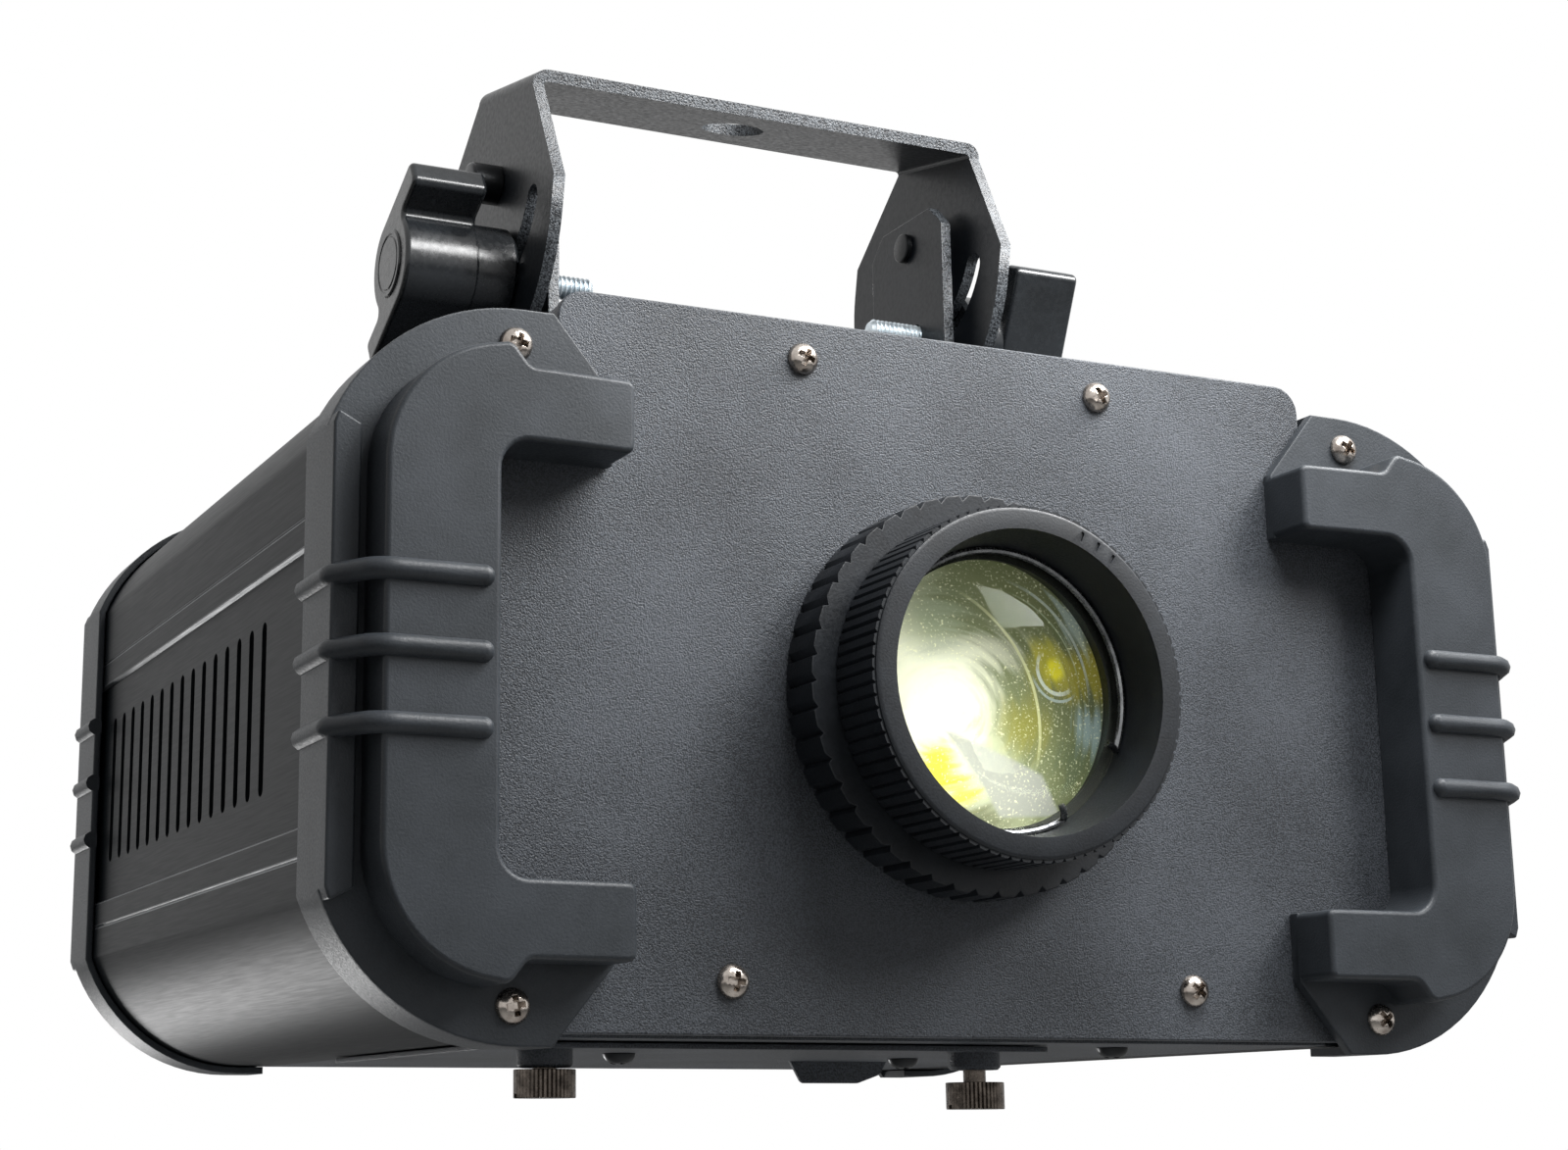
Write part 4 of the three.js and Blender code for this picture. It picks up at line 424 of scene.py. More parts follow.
def coated_glass(axis_at, radius):
    """The inner element: painted glare, white at one side, over an olive coat at the other, with painted
    reflection arcs, real dust and a faint painted glow.
    """
    material, tree, shader = blank("dichroic_glass_with_painted_glare")

    def measured(operation, *values):
        """A number worked out from vectors."""
        return maths(tree, operation, *values, kind="VectorMath").outputs["Value"]

    scale = 1 / (radius * MM)
    spots = add(tree, "TexCoord").outputs["Object"]
    # Disc coordinates run from -1 to 1 over the lens, with X across and Z up.
    disc = add(tree, "Mapping", {
        "Vector": spots, "Location": (-axis_at.x * scale, 0, -axis_at.z * scale), "Scale": (scale, 0, scale),
    })
    parts = add(tree, "SeparateXYZ", {"Vector": disc}).outputs
    hub = maths(tree, "ADD", disc, (0.28, 0, 0.12), kind="VectorMath")
    hub_parts = add(tree, "SeparateXYZ", {"Vector": hub}).outputs
    polar = add(tree, "CombineXYZ", {
        "X": measured("LENGTH", hub), "Y": maths(tree, "ARCTAN2", hub_parts["Z"], hub_parts["X"]),
    })
    streaky = add(tree, "Mapping", {"Vector": polar, "Scale": (16, 0.9, 1)})
    arcs = add(tree, "TexNoise", {"Vector": streaky, "Scale": 1.0, "Detail": 5.0})
    dust = add(tree, "TexNoise", {"Vector": spots, "Scale": per(0.45), "Detail": 1.0})
    slope = maths(tree, "MULTIPLY_ADD", parts["Z"], 0.45, parts["X"])
    rough_slope = maths(tree, "MULTIPLY_ADD", arcs, 0.6, slope)
    ramp = add(tree, "ValToRGB", {"Fac": ranged(tree, rough_slope, (-0.7, 1.5))})
    # The white end of the ramp is painted glare; the olive end is the coat's own tint.
    stops = (
        (0.0, "#ecede2"), (0.26, "#e6e8da"), (0.4, "#b9bfa6"),
        (0.52, "#7c8467"), (0.75, "#6b7350"), (1.0, "#59604a"),
    )
    while len(ramp.color_ramp.elements) < len(stops):
        ramp.color_ramp.elements.new(0.5)
    for element, (place, colour) in zip(ramp.color_ramp.elements, stops):
        element.position = place
        element.color = linear(colour)

    def blended(colour, share, tint):
        mix = add(tree, "Mix", {"Factor": share, 6: colour, 7: linear(tint)}, data_type="RGBA")
        return mix.outputs[2]

    def painted_glow(at, squash, core, rim, strength, ragged):
        """How much a painted glare spot covers, stretched by its squash and frayed by the arcs."""
        spread = Vector((squash[0], 0, squash[1]))
        centre = Vector((-at[0] * squash[0], 0, -at[1] * squash[1]))
        away = maths(tree, "MULTIPLY_ADD", disc, spread, centre, kind="VectorMath")
        away = maths(tree, "MULTIPLY_ADD", arcs, ragged, measured("LENGTH", away))
        ends = (core + ragged / 2, rim + ragged / 2)
        return ranged(tree, away, ends, (strength, 0.0), interpolation_type="SMOOTHSTEP")

    def painted_reflection_arc(at, radius, width, middle, reach, strength):
        """How much a thin arc of painted reflection covers, fading away from the middle of its length."""
        off = maths(tree, "COMPARE", measured("DISTANCE", disc, (at[0], 0, at[1])), radius, width)
        return maths(tree, "MULTIPLY", off, painted_glow(middle, (1, 1), reach * 0.5, reach, strength, 0.3))

    # Painted glare spots, in the order that they are laid over each other, then thin arcs of painted
    # reflection.
    colour = ramp.outputs["Color"]
    for at, squash, core, rim, strength, ragged, tint in (
        ((-0.3, 0.0), (1, 0.85), 0.1, 0.5, 0.95, 0.5, "#f4f5ee"),
        ((0.0, 0.3), (0.8, 1.6), 0.02, 0.34, 0.6, 0.9, "#e6e8dc"),
        ((-0.36, 0.5), (1, 1), 0.05, 0.36, 0.65, 0.5, "#8a9785"),
        ((0.32, 0.78), (0.7, 1.3), 0.05, 0.5, 0.6, 0.8, "#757a5c"),
        ((-0.02, -0.84), (0.6, 1.4), 0.05, 0.3, 0.9, 0.3, "#5f6549"),
        ((-0.34, -0.5), (1.2, 0.9), 0.06, 0.24, 0.95, 0.3, "#e3d92e"),
        ((-0.16, -0.66), (0.9, 1.3), 0.04, 0.18, 0.85, 0.3, "#d2cb34"),
        ((0.3, -0.2), (0.9, 1.0), 0.04, 0.3, 0.85, 0.4, "#8d8a3d"),
        ((0.8, 0.2), (0.7, 1.3), 0.1, 0.34, 0.8, 0.8, "#a39a3a"),
        ((0.5, 0.24), (1, 1), 0.06, 0.24, 0.8, 0.3, "#b9b23c"),
        ((0.56, 0.21), (1, 1), 0.03, 0.1, 0.95, 0.1, "#efe62e"),
        ((0.86, -0.18), (1.1, 0.9), 0.05, 0.2, 0.8, 0.6, "#9db4bf"),
        ((0.74, 0.55), (1.2, 0.7), 0.02, 0.2, 0.6, 0.9, "#aebfc4"),
        ((0.72, -0.42), (1, 1), 0.05, 0.22, 0.6, 0.5, "#5d6b57"),
    ):
        colour = blended(colour, painted_glow(at, squash, core, rim, strength, ragged), tint)
    for at, radius, width, middle, reach, strength, tint in (
        ((-0.75, -0.28), 1.17, 0.012, (0.3, 0.2), 0.75, 0.6, "#eef0c8"),
        ((0.58, 0.21), 0.17, 0.014, (0.46, 0.08), 0.24, 0.85, "#dfe8ea"),
        ((0.58, 0.21), 0.22, 0.01, (0.5, 0.0), 0.24, 0.7, "#c3d3de"),
        ((0.0, 0.0), 0.86, 0.012, (0.7, 0.5), 0.6, 0.5, "#cfdbe0"),
        ((0.0, 0.0), 0.78, 0.006, (0.6, 0.5), 0.5, 0.5, "#b8c4b0"),
        ((0.1, -0.4), 0.55, 0.008, (-0.2, -0.62), 0.4, 0.6, "#f6f3d0"),
    ):
        colour = blended(colour, painted_reflection_arc(at, radius, width, middle, reach, strength), tint)

    # A painted reflection of the studio's white umbrella: a patch between straight edges with a soft border.
    patch = 1.0
    border = 0.03
    for normal, limit in (
        ((0.33, 0.94), -0.33), ((0.8, 0.6), 0.06), ((0.05, -1.0), 0.83), ((-0.75, -0.66), 0.43),
    ):
        along = measured("DOT_PRODUCT", disc, (normal[0], 0, normal[1]))
        inside = ranged(tree, along, (limit - border, limit), (0.92, 0.0))
        patch = maths(tree, "MINIMUM", inside, patch)
    colour = blended(colour, patch, "#a7a9ad")
    colour = blended(colour, ranged(tree, dust, (0.62, 0.74), (0.0, 0.7)), "#fbfbe2")
    # The whole element glows faintly by emission: a painted glow, though it is no lamp.
    feed(tree, shader, {
        "Base Color": colour, "Emission Color": colour, "Emission Strength": 0.24,
        "Specular IOR Level": 0.2, "Roughness": 0.5,
    })
    return material


# The inner element carries painted glare, painted reflections and a painted glow.
glass_with_painted_glare = coated_glass(TO_ROW @ Vector((0, 0, 0)), 27.5)


# Corner guards
PLATE = 2.7
BAND = 6.5
BUMPER = 14.9
SKIRT = 11.85
SKIRT_WALL = 1.75
INNER_X = 110
INNER_Z = 42.1
ARM_END = 81.6
ARM_OUTER = 57
PLATE_END = 94.4
ARM_CREASE = 99.4
ARM_FALL = 1.2
BUMPER_X = 133.2
BUMPER_Z = 61.4
BUMPER_RADIUS = 25.7
BAND_HALF = 46.6
RIB = 2.15
RIB_PITCH = 14.5
GUARD_SCREW = (102.7, 65)


def below(upper):
    """Points mirrored to below the lens axis, in reverse order."""
    return [(u, -v) for u, v in reversed(upper)]


def both_ways(upper):
    return [*upper, *below(upper)]


def shell_arc(radius, limit, steps=16):
    end = 180 - math.degrees(math.acos((limit - CORNER_X) / radius))
    return arc(-CORNER_X, CORNER_Z, radius, 90, end, steps)


def inner_edge():
    return arc(-INNER_X + 6, INNER_Z - 6, 6, 180, 90, 8)


def guard():
    plate_edge = both_ways([
        *inner_edge(), *arc(-ARM_END - 0.5, INNER_Z + 0.5, 0.5, 270, 360, 2),
        (-ARM_END, ARM_OUTER), (-PLATE_END, HALF_HEIGHT),
        *shell_arc(CORNER, HALF_WIDTH),
    ])
    plate = soften(prism(plate_edge, -PLATE, -GAP), 0.5, 2, lambda e: at_y(e, -PLATE))

    bumper_edge = both_ways([
        *inner_edge(),
        *arc(-ARM_END - 1.6, INNER_Z + 1.6, 1.6, 270, 360, 3),
        *arc(-ARM_END - 1.6, ARM_OUTER - 1.6, 1.6, 0, 90, 3),
        *arc(-102.6, ARM_OUTER + 3, 3, 270, 222, 4),
        *arc(-109.2, 58.4, 3.2, 42, 84, 4),
        *arc(-BUMPER_X + BUMPER_RADIUS, BUMPER_Z - BUMPER_RADIUS, BUMPER_RADIUS, 98, 180, 18),
    ])
    bumper = prism(bumper_edge, -BUMPER, -GAP - 0.2)
    bmesh.ops.bisect_plane(
        bumper, geom=bumper.verts[:] + bumper.edges[:] + bumper.faces[:],
        plane_co=(-ARM_CREASE, 0, 0), plane_no=(1, 0, 0),
    )
    for vert in bumper.verts:
        beyond = vert.co.x + ARM_CREASE
        if beyond > 0 and vert.co.y < -BUMPER + 0.1:
            vert.co.y += ARM_FALL * beyond / (ARM_CREASE - ARM_END)
    soften(bumper, 1.1, 4, lambda e: all(v.co.y < -BUMPER + ARM_FALL + 0.1 for v in e.verts), 35)

    band_edge = both_ways([(-135.4, BAND_HALF - 2.4), (-140.1, BAND_HALF), (-HALF_WIDTH, 44.1)])
    band = prism(band_edge, -BAND, -GAP - 0.2)
    soften(band, 0.6, 3, lambda e: any(v.co.y < -BAND + 0.1 for v in e.verts))

    outer = [(-PLATE_END, HALF_HEIGHT), *shell_arc(CORNER, HALF_WIDTH)]
    inner = [
        (-PLATE_END, HALF_HEIGHT - SKIRT_WALL),
        *shell_arc(CORNER - SKIRT_WALL, HALF_WIDTH - SKIRT_WALL),
    ]
    skirt = prism(both_ways(outer) + both_ways(inner)[::-1], -1.2, SKIRT)
    soften(skirt, 0.4, 2, lambda e: at_y(e, SKIRT))

    ribs = []
    for z in (-RIB_PITCH, 0, RIB_PITCH):
        bends = [*arc(131.0, -8.6, 6.3, -84, -40, 5), *arc(136.4, -3.6, 4.2, -40, 0, 4)]
        path = [(113.7, -BUMPER), (130.4, -BUMPER), *bends, (140.6, SKIRT)]
        ribs.append(tube([Vector((-x, y, z)) for x, y in path], RIB, round_start=True))
    holes = [rod(2, -BUMPER, OVERRUN, at=(-GUARD_SCREW[0], 0, z)) for z in (-GUARD_SCREW[1], GUARD_SCREW[1])]
    clear = prism(both_ways(inner), -GAP, SKIRT + OVERRUN)
    return combined(plate, [bumper, band, skirt, *ribs], [clear, *holes])


def tube(path, radius, sides=16, round_start=False, closed=False):
    """A round bar along a path of points."""
    curve = bpy.data.curves.new("path", "CURVE")
    curve.dimensions = "3D"
    curve.bevel_depth = radius
    curve.bevel_resolution = sides // 4 - 1
    curve.use_fill_caps = not closed
    spline = curve.splines.new("POLY")
    spline.points.add(len(path) - 1)
    spline.use_cyclic_u = closed
    for point, co in zip(spline.points, path):
        point.co = (*co, 1)
    bm = final_shape(placed("path", curve))
    bmesh.ops.recalc_face_normals(bm, faces=bm.faces)
    if round_start:
        ball = bmesh.new()
        bmesh.ops.create_uvsphere(ball, u_segments=sides, v_segments=sides // 2, radius=radius)
        bmesh.ops.translate(ball, vec=path[0], verts=ball.verts)
        return combined(bm, [ball])
    return bm


guard_shape = guard()
for name, matrix in (
    ("front_left", Matrix.Identity(4)),
    ("front_right", FLIP_X),
    ("rear_left", FLIP_Y),
    ("rear_right", FLIP_X @ FLIP_Y),
):
    shape = copied(guard_shape, matrix)
    piece("corner_guard_" + name, shape, "housing", "guard", nylon, stands_for=["guard_" + name])


# Extruded sides: the heights of their two grooves and of the recess between, and a row of vent slots
RIDGES = (30.7, 24.85, -30.8, -36.65)
RECESS_STEP = 0.6
VENTS = 15
VENT_FIRST = 48.9
VENT_LAST = 183.4
VENT_TOP = 15.4
VENT_BOTTOM = -20.9
VENT_HALF = 1.7


def extruded_side():
    outer_x = HALF_WIDTH - SKIRT_WALL - GAP
    radius = CORNER - SKIRT_WALL - GAP
    recess_x = outer_x - 1.1
    flange = CORNER_Z + radius
    top = shell_arc(radius, outer_x, 24)
    inner_top = shell_arc(radius - 3, outer_x - 3, 24)

    def groove(z):
        return [(-outer_x, z + 0.35), (-outer_x + 0.4, z), (-outer_x, z - 0.35)]

    high_groove, recess_top, recess_bottom, low_groove = RIDGES
    outer = [
        (-FLANGE_END, flange), *top, *groove(high_groove),
        (-outer_x, recess_top), (-recess_x, recess_top - RECESS_STEP),
        (-recess_x, recess_bottom + RECESS_STEP), (-outer_x, recess_bottom), *groove(low_groove),
        *below(top), (-FLANGE_END, -flange),
    ]
    sheet = flange - SHEET
    lip_end = FLANGE_END - 8
    foot = [(-FLANGE_END, -sheet + GAP), (-lip_end, -sheet + GAP), (-lip_end, -flange + 3)]
    walls = [(u, -v) for u, v in inner_top] + inner_top[::-1]
    body = prism(outer + foot + walls + below(foot), FRONT, REAR)

    def on_face(edge):
        x, _, z = edge.verts[0].co
        return x < -outer_x + 1.5 and abs(z) < 40 and not at_y(edge, FRONT)

    soften(body, 0.18, 2, on_face, 20)
    slots = []
    for i in range(VENTS):
        y = VENT_FIRST + i * (VENT_LAST - VENT_FIRST) / (VENTS - 1)
        path = [
            *arc(y, VENT_TOP - VENT_HALF, VENT_HALF, 0, 180, 8),
            *arc(y, VENT_BOTTOM + VENT_HALF, VENT_HALF, 180, 360, 8),
        ]
        slots.append(prism(path, -outer_x - OVERRUN, -outer_x + 8, "X"))
    side = combined(body, cuts=slots)
    # Faces along the ridges take the second finish, the painted ridge highlight.
    for face in side.faces:
        at = face.calc_center_median()
        on_ridge = min(abs(at.z - z) for z in RIDGES) < 0.45
        face.material_index = int(on_ridge and at.x < 1 - outer_x and abs(face.normal.y) < 0.5)
    return side


side_shape = extruded_side()
for side, matrix in LEFT_FIRST:
    piece(
        "extruded_side_" + side, copied(side_shape, matrix), "housing", "extrusion", extrusion, ridge_painted_highlight,
        stands_for=["side_" + side],
    )


# Front panel
def panel(bore, bore_x=0, cuts=()):
    edge = outline([
        (-112, -69.9, 4), (-112, 69.9, 4), (-92.5, 69.9, 0), (-92.5, 79.2, 6),
        (92.5, 79.2, 6), (92.5, 69.9, 0), (112, 69.9, 4), (112, -69.9, 4),
    ])
    plate = soften(prism(edge, 0, PANEL), 0.45, 3, lambda e: at_y(e, 0))
    return combined(plate, cuts=[rod(bore, -OVERRUN, PANEL + OVERRUN, at=(bore_x, 0, 0), steps=64), *cuts])


piece("front_sheet", panel(34), "housing", "textured_sheet", powder_coat, stands_for=["front_panel"])


# Yoke, laid out about its pivot and leant forwards
SLOT = (CLAMP - PIVOT).length
SLOT_HALF = 3.4
SLOT_FRONT = -13
SLOT_BACK = -167


def yoke_shape():
    half, thick = 63.5, 3
    inner = half - thick
    foot, past = -60, 70
    top_half, top_end, shoulder = 19, 32, 23
    leg_half, leg_bend, leg_centre = 38.5, -1.5, -9.5
    hoop_edge = outline([
        (-half, foot, 0), (-half, YOKE_TOP, 4), (half, YOKE_TOP, 4), (half, foot, 0),
        (inner, foot, 0), (inner, YOKE_TOP - thick, 1), (-inner, YOKE_TOP - thick, 1), (-inner, foot, 0),
    ], 8)
    hoop = prism(hoop_edge, -50, 50)
    front = [(top_half, top_end), (top_half, shoulder), (leg_half, leg_bend)]
    back = [(-u, v) for u, v in reversed(front)]
    sides = prism([*front, *arc(0, leg_centre, leg_half, 0, -180, 48), *back], -past, past, "X")
    slot_edge = [
        *arc(0, 0, SLOT + SLOT_HALF, SLOT_BACK, SLOT_FRONT, 40), *slot_end(SLOT_FRONT, 0),
        *arc(0, 0, SLOT - SLOT_HALF, SLOT_FRONT, SLOT_BACK, 40), *slot_end(SLOT_BACK, 180),
    ]
    slot = prism(slot_edge, -past, past, "X")
    pivot_hole = rod(3, -past, past, "X")
    hang_hole = rod(8, YOKE_TOP - 2 * thick, YOKE_TOP + OVERRUN, "Z", steps=64)
    bm = combined(hoop, meets=[sides], cuts=[slot, pivot_hole, hang_hole])
    soften(bm, 0.4, 2, limit=50)
    # Faces off the flat sheet take the second finish: worn cut edges with painted glints.
    for face in bm.faces:
        at = face.calc_center_median()
        on_leg = abs(face.normal.x) > 0.6 and abs(at.x) > 20
        on_top = abs(face.normal.z) > 0.6 and at.z > 20
        in_bend = abs(face.normal.y) < 0.02 and at.z > 20 and abs(at.x) > 55
        face.material_index = 0 if on_leg or on_top or in_bend else 1
    return moved(bm, Matrix.Translation(PIVOT) @ Matrix.Rotation(YOKE_LEAN, 4, "X"))


def slot_end(angle, turn):
    turned_to = math.radians(angle)
    centre = (SLOT * math.cos(turned_to), SLOT * math.sin(turned_to))
    return arc(*centre, SLOT_HALF, angle + turn, angle + turn + 180, 8)[1:-1]


piece("hanging_yoke", yoke_shape(), "yoke_arm", "painted_steel", paint, worn_edge_painted_glints, stands_for=["yoke"])


# Ears on the lid
def ear_shape():
    boss, outer, inner = 60.2, 57.2, 54.2
    base = 79.2
    front, back, top = 92, 129, 151.6
    chamfer, foot_reach, foot_top = 6, 15, base + 2.5
    edge = [
        (front, base, 0), (back, base, 0), (back, top - chamfer, 2), (back - chamfer, top, 2),
        (front + chamfer, top, 2), (front, top - chamfer, 2),
    ]
    bm = prism(outline(edge, 3), -outer, -inner, "X")
    foot_end = foot_reach - inner
    foot_edge = [(-outer, front, 0), (foot_end, front, 2), (foot_end, back, 2), (-outer, back, 0)]
    foot = prism(outline(foot_edge), base, foot_top, "Z")
    soften(bm, 0.4, 2)
    # Faces off the flat sheet take the second finish: worn cut edges with painted glints.
    for face in bm.faces:
        face.material_index = 0 if abs(face.normal.x) > 0.99 else 1
    soften(foot, 0.4, 2)
    rivets = []
    for y in (front + chamfer, back - chamfer):
        head = [(0, 1.2), (1.6, 1.05), (2.6, 0.6), (3, 0), (3, -1), (0, -1)]
        rivets.append(turned(head, 32, "Z", (foot_end - foot_reach / 2, y, foot_top)))
    bosses = []
    for at in (PIVOT, CLAMP):
        profile = [(0, -boss), (6.7, -boss), (7, -boss + 0.3), (7, -inner - 1), (0, -inner - 1)]
        bosses.append(turned(profile, 64, "X", at))
    holes = [rod(3.3, -65, 0, "X", at) for at in (PIVOT, CLAMP)]
    return combined(bm, [foot, *rivets, *bosses], holes)


ear = ear_shape()
for side, matrix in LEFT_FIRST:
    piece(
        "lid_ear_" + side, copied(ear, matrix), "housing", "painted_steel", paint, worn_edge_painted_glints,
        stands_for=["ear_" + side],
    )


# Clamp knobs, clamp bolts and pivot bolts, drawn on the right
def knob_shape(hand, angle):
    """A knob with two wings that leave its round core on a tangent, drawn left- or right-handed."""
    core, reach, width, tip, fillet = 12.7, 22.8, 7.2, 2, 1.8
    inner = core - width
    across = math.sqrt((core + fillet) ** 2 - (inner - fillet) ** 2)
    valley = math.degrees(math.atan2(inner - fillet, across))
    wing = [
        *arc(reach - tip, core - tip, tip, 90, 0, 6),
        *arc(reach - tip, inner + tip, tip, 0, -90, 6),
        *arc(across, inner - fillet, fillet, 90, 180 + valley, 8),
        *arc(0, 0, core, valley, -90, 24)[1:-1],
    ]
    spin = Matrix.Rotation(math.radians(angle), 2)
    wings = [spin @ Vector((side * p.x, side * hand * p.y)) for side in (1, -1) for p in wing]
    grip = prism([(p.x + CLAMP.y, p.y + CLAMP.z) for p in wings], 73.8, 92.8, "X")
    soften(grip, 1.2, 4, lambda e: abs(e.verts[0].co.x - e.verts[1].co.x) < 0.01)
    hub = turned([(0, 63.8), (11.4, 63.8), (12.3, 64.7), (12.3, 75), (0, 75)], 96, "X", CLAMP)
    cap = turned([
        (0, 91.7), (8.4, 91.7), (8.4, 92.95), (8.1, 93.3), (7.3, 93.3), (7.1, 93.05), (6.6, 93.05),
        (6.4, 93.3), (0, 93.3),
    ], 64, "X", CLAMP)
    hole = rod(3.05, 60, 76.1, "X", CLAMP)
    return combined(grip, [hub, cap], [hole])


def threaded(radius, start, end, pitch, depth, tip):
    """A bolt shank of (radius, along) whose thread runs from its tip."""
    profile = [(0, start), (radius - depth - 0.3, start)]
    along = start + 0.5
    while along + pitch < tip:
        profile += [(radius - depth, along), (radius, along + pitch * 0.4), (radius, along + pitch * 0.6)]
        along += pitch
    return profile + [(radius - depth, along), (radius, along + pitch / 2), (radius, end), (0, end)]


def clamp_bolt_shape():
    return turned(threaded(3, 40, 75.8, 1.25, 0.55, 60), 40, "X", CLAMP)


def pivot_bolt_shape():
    profile = [
        (0, 52.4), (3.3, 52.4), (3.9, 52.8), (3.9, 53.9), (2.95, 53.9), (2.95, 63.8), (5, 63.8),
        (5, 70.6), (4.7, 71.2), (4.1, 71.5), (0, 71.5),
    ]
    socket = rod(2.4, 67.5, 75, "X", tuple(PIVOT), 6)
    return combined(turned(profile, 48, "X", PIVOT), cuts=[socket])


for side, hand, angle, matrix in (("right", 1, 114, Matrix.Identity(4)), ("left", -1, 152, FLIP_X)):
    knob = copied(knob_shape(hand, angle), matrix)
    node = "clamp_knob_" + side
    piece(node + "_seen", knob, "clamp_" + side, "knob", gloss_moulding, stands_for=[node])
for name, shape, slot, finish in (
    ("clamp_bolt", clamp_bolt_shape(), "plated_bolt", zinc),
    ("pivot_bolt", pivot_bolt_shape(), "black_bolt", black_steel),
):
    for side, matrix in (("right", Matrix.Identity(4)), ("left", FLIP_X)):
        body = "housing" if name == "pivot_bolt" else "clamp_" + side
        node = f"{name}_{side}"
        piece(node + "_seen", copied(shape, matrix), body, slot, finish, stands_for=[node])


# Pan-head screws, seated at y = 0 with the head towards -Y
def pan_screw(length):
    profile = [
        (0, -2.3), (0.9, -2.28), (1.7, -2.15), (2.4, -1.85), (3.0, -1.3), (3.35, -0.7), (3.5, -0.15),
        (3.4, 0), (1.7, 0), (1.7, length), (0, length),
    ]
    cross = []
    for turn in (0, 90):
        blade = prism([(-2.5, -3), (2.5, -3), (1, -0.2), (-1, -0.2)], -0.62, 0.62, "Z")
        cross.append(moved(blade, spun(turn)))
    return soften(combined(turned(profile, 40), cuts=cross), 0.12, 2, lambda e: e.verts[0].co.y < -0.8, 40)


TURNS = (23, 61, 7, 38, 80, 15, 52, 31)


def seated(x, y, z, i):
    """A place on the front, with the chance turn that a screw was left at."""
    return Matrix.Translation((x, y, z)) @ spun(TURNS[i])


def nickel_screw(name, shape, matrix, *nodes):
    piece(name, copied(shape, matrix), "housing", "screw", nickel, stands_for=nodes)


screw = pan_screw(9)
PANEL_SCREWS = ((-36.8, 70.7), (36.8, 70.7), (-55.1, -59.4), (55.1, -59.4))
for i, (x, z) in enumerate(PANEL_SCREWS):
    front = seated(x, 0, z, i)
    nickel_screw(f"panel_screw_{i + 1}", screw, front, f"front_screw_{i + 1}")
    nickel_screw(f"back_screw_{i + 1}", screw, FLIP_Y @ front, f"rear_screw_{i + 1}")
corners = [(x, z) for x in (-GUARD_SCREW[0], GUARD_SCREW[0]) for z in (-GUARD_SCREW[1], GUARD_SCREW[1])]
for i, (x, z) in enumerate(corners):
    front = seated(x, -PLATE, z, i + 4)
    for end, matrix in (("front", front), ("rear", FLIP_Y @ front)):
        nickel_screw(f"corner_screw_{end}_{i + 1}", screw, matrix, f"guard_screw_{end}_{i + 1}")


# Lens
focus_grip = prism(toothed(42.1, 1.1, 48, (0.12, 0.72)), -11.1, -0.3)
soften(focus_grip, 0.35, 2, lambda e: at_y(e, -11.1))
focus = combined(focus_grip, cuts=[rod(33.8, -20, 5, steps=FINE_TURN)])
piece("focus_grip", focus, "focus", "lens_ring", ring_moulding, stands_for=["focus_ring"])

barrel_body = turned([
    (31.5, -26.9), (35.2, -26.9), (35.9, -26.4), (36.0, -25.9), (36.0, -11.4), (31.2, -11.4), (31.2, 28),
    (27.5, 28), (27.5, -10.2), (30.3, -10.2), (30.3, -19.5),
], FINE_TURN, closed=True)
fluted = prism(toothed(36.6, 0.7, 90, (0.15, 0.75)), -26.1, -11.4)
flutes = combined(fluted, cuts=[rod(35, -30, 5, steps=FINE_TURN)])
ticks = []
for angle in (53, 60, 67):
    tick = prism(rectangle((32.8, 34.8), (-0.35, 0.35), 0.15, 2), -28, -26.55)
    ticks.append(moved(tick, spun(-angle)))
barrel = combined(barrel_body, [flutes], ticks)
piece("lens_tube", barrel, "lens_cell", "lens_ring", ring_moulding, stands_for=["lens_barrel"])


def crown(radius, height, y, steps):
    """Half of a lens face from its middle to its rim, raised by a height along Y."""
    return [(radius * k / steps, y + height * (1 - (k / steps) ** 2)) for k in range(steps + 1)]


dome = turned([
    *crown(30.1, -6, -13.4, 14), (30.1, -10.35), (27.5, -10.35), *reversed(crown(27.2, 3, -10.35, 10)),
], FINE_TURN)
piece("front_dome", dome, "lens_cell", "coated_glass", glass, stands_for=["front_lens"])
rear_element = turned([*crown(27.3, -1.5, -4.4, 10), (27.3, -2.5), (0, -2.5)], FINE_TURN)
piece("rear_element", rear_element, "lens_cell", "coated_glass", glass_with_painted_glare)

WIRE_Y = -14.9
HOOK = ((0.89, 1.6), (0.93, 1.5), (0.975, 0.8))
ring_path = [Vector((p.x, WIRE_Y, p.y)) for p in arc(0, 0, 29.45, -22, 298, 72)]
hooks = [
    [Vector((p.x * share, WIRE_Y - lift, p.z * share)) for share, lift in HOOK]
    for p in (ring_path[0], ring_path[-1])
]
wire = tube(hooks[0] + ring_path + hooks[1][::-1], 0.75, 12)
piece("lens_snap_ring", wire, "lens_cell", "spring_wire", spring_steel, stands_for=["snap_ring"])


# Sheet covers and the captive screws of the hatch
LID = 78.9
COVER_HALF = 91.7
FOLD_HALF = 83.4
FLANGE = CORNER_Z + CORNER - SKIRT_WALL - GAP


def boxed(x, y, z, size=0.0):
    """A block between pairs of x, y and z, with its upright edges along Z cut round."""
    return prism(rectangle(x, y, size, 4), *z, "Z")


# Each captive screw's x, and how far it is drawn out.
THUMBS = {"left": (-86.5, 0.3), "right": (12.5, 2.6)}
THUMB_Y = 21
THUMB_SEAT = -75.65


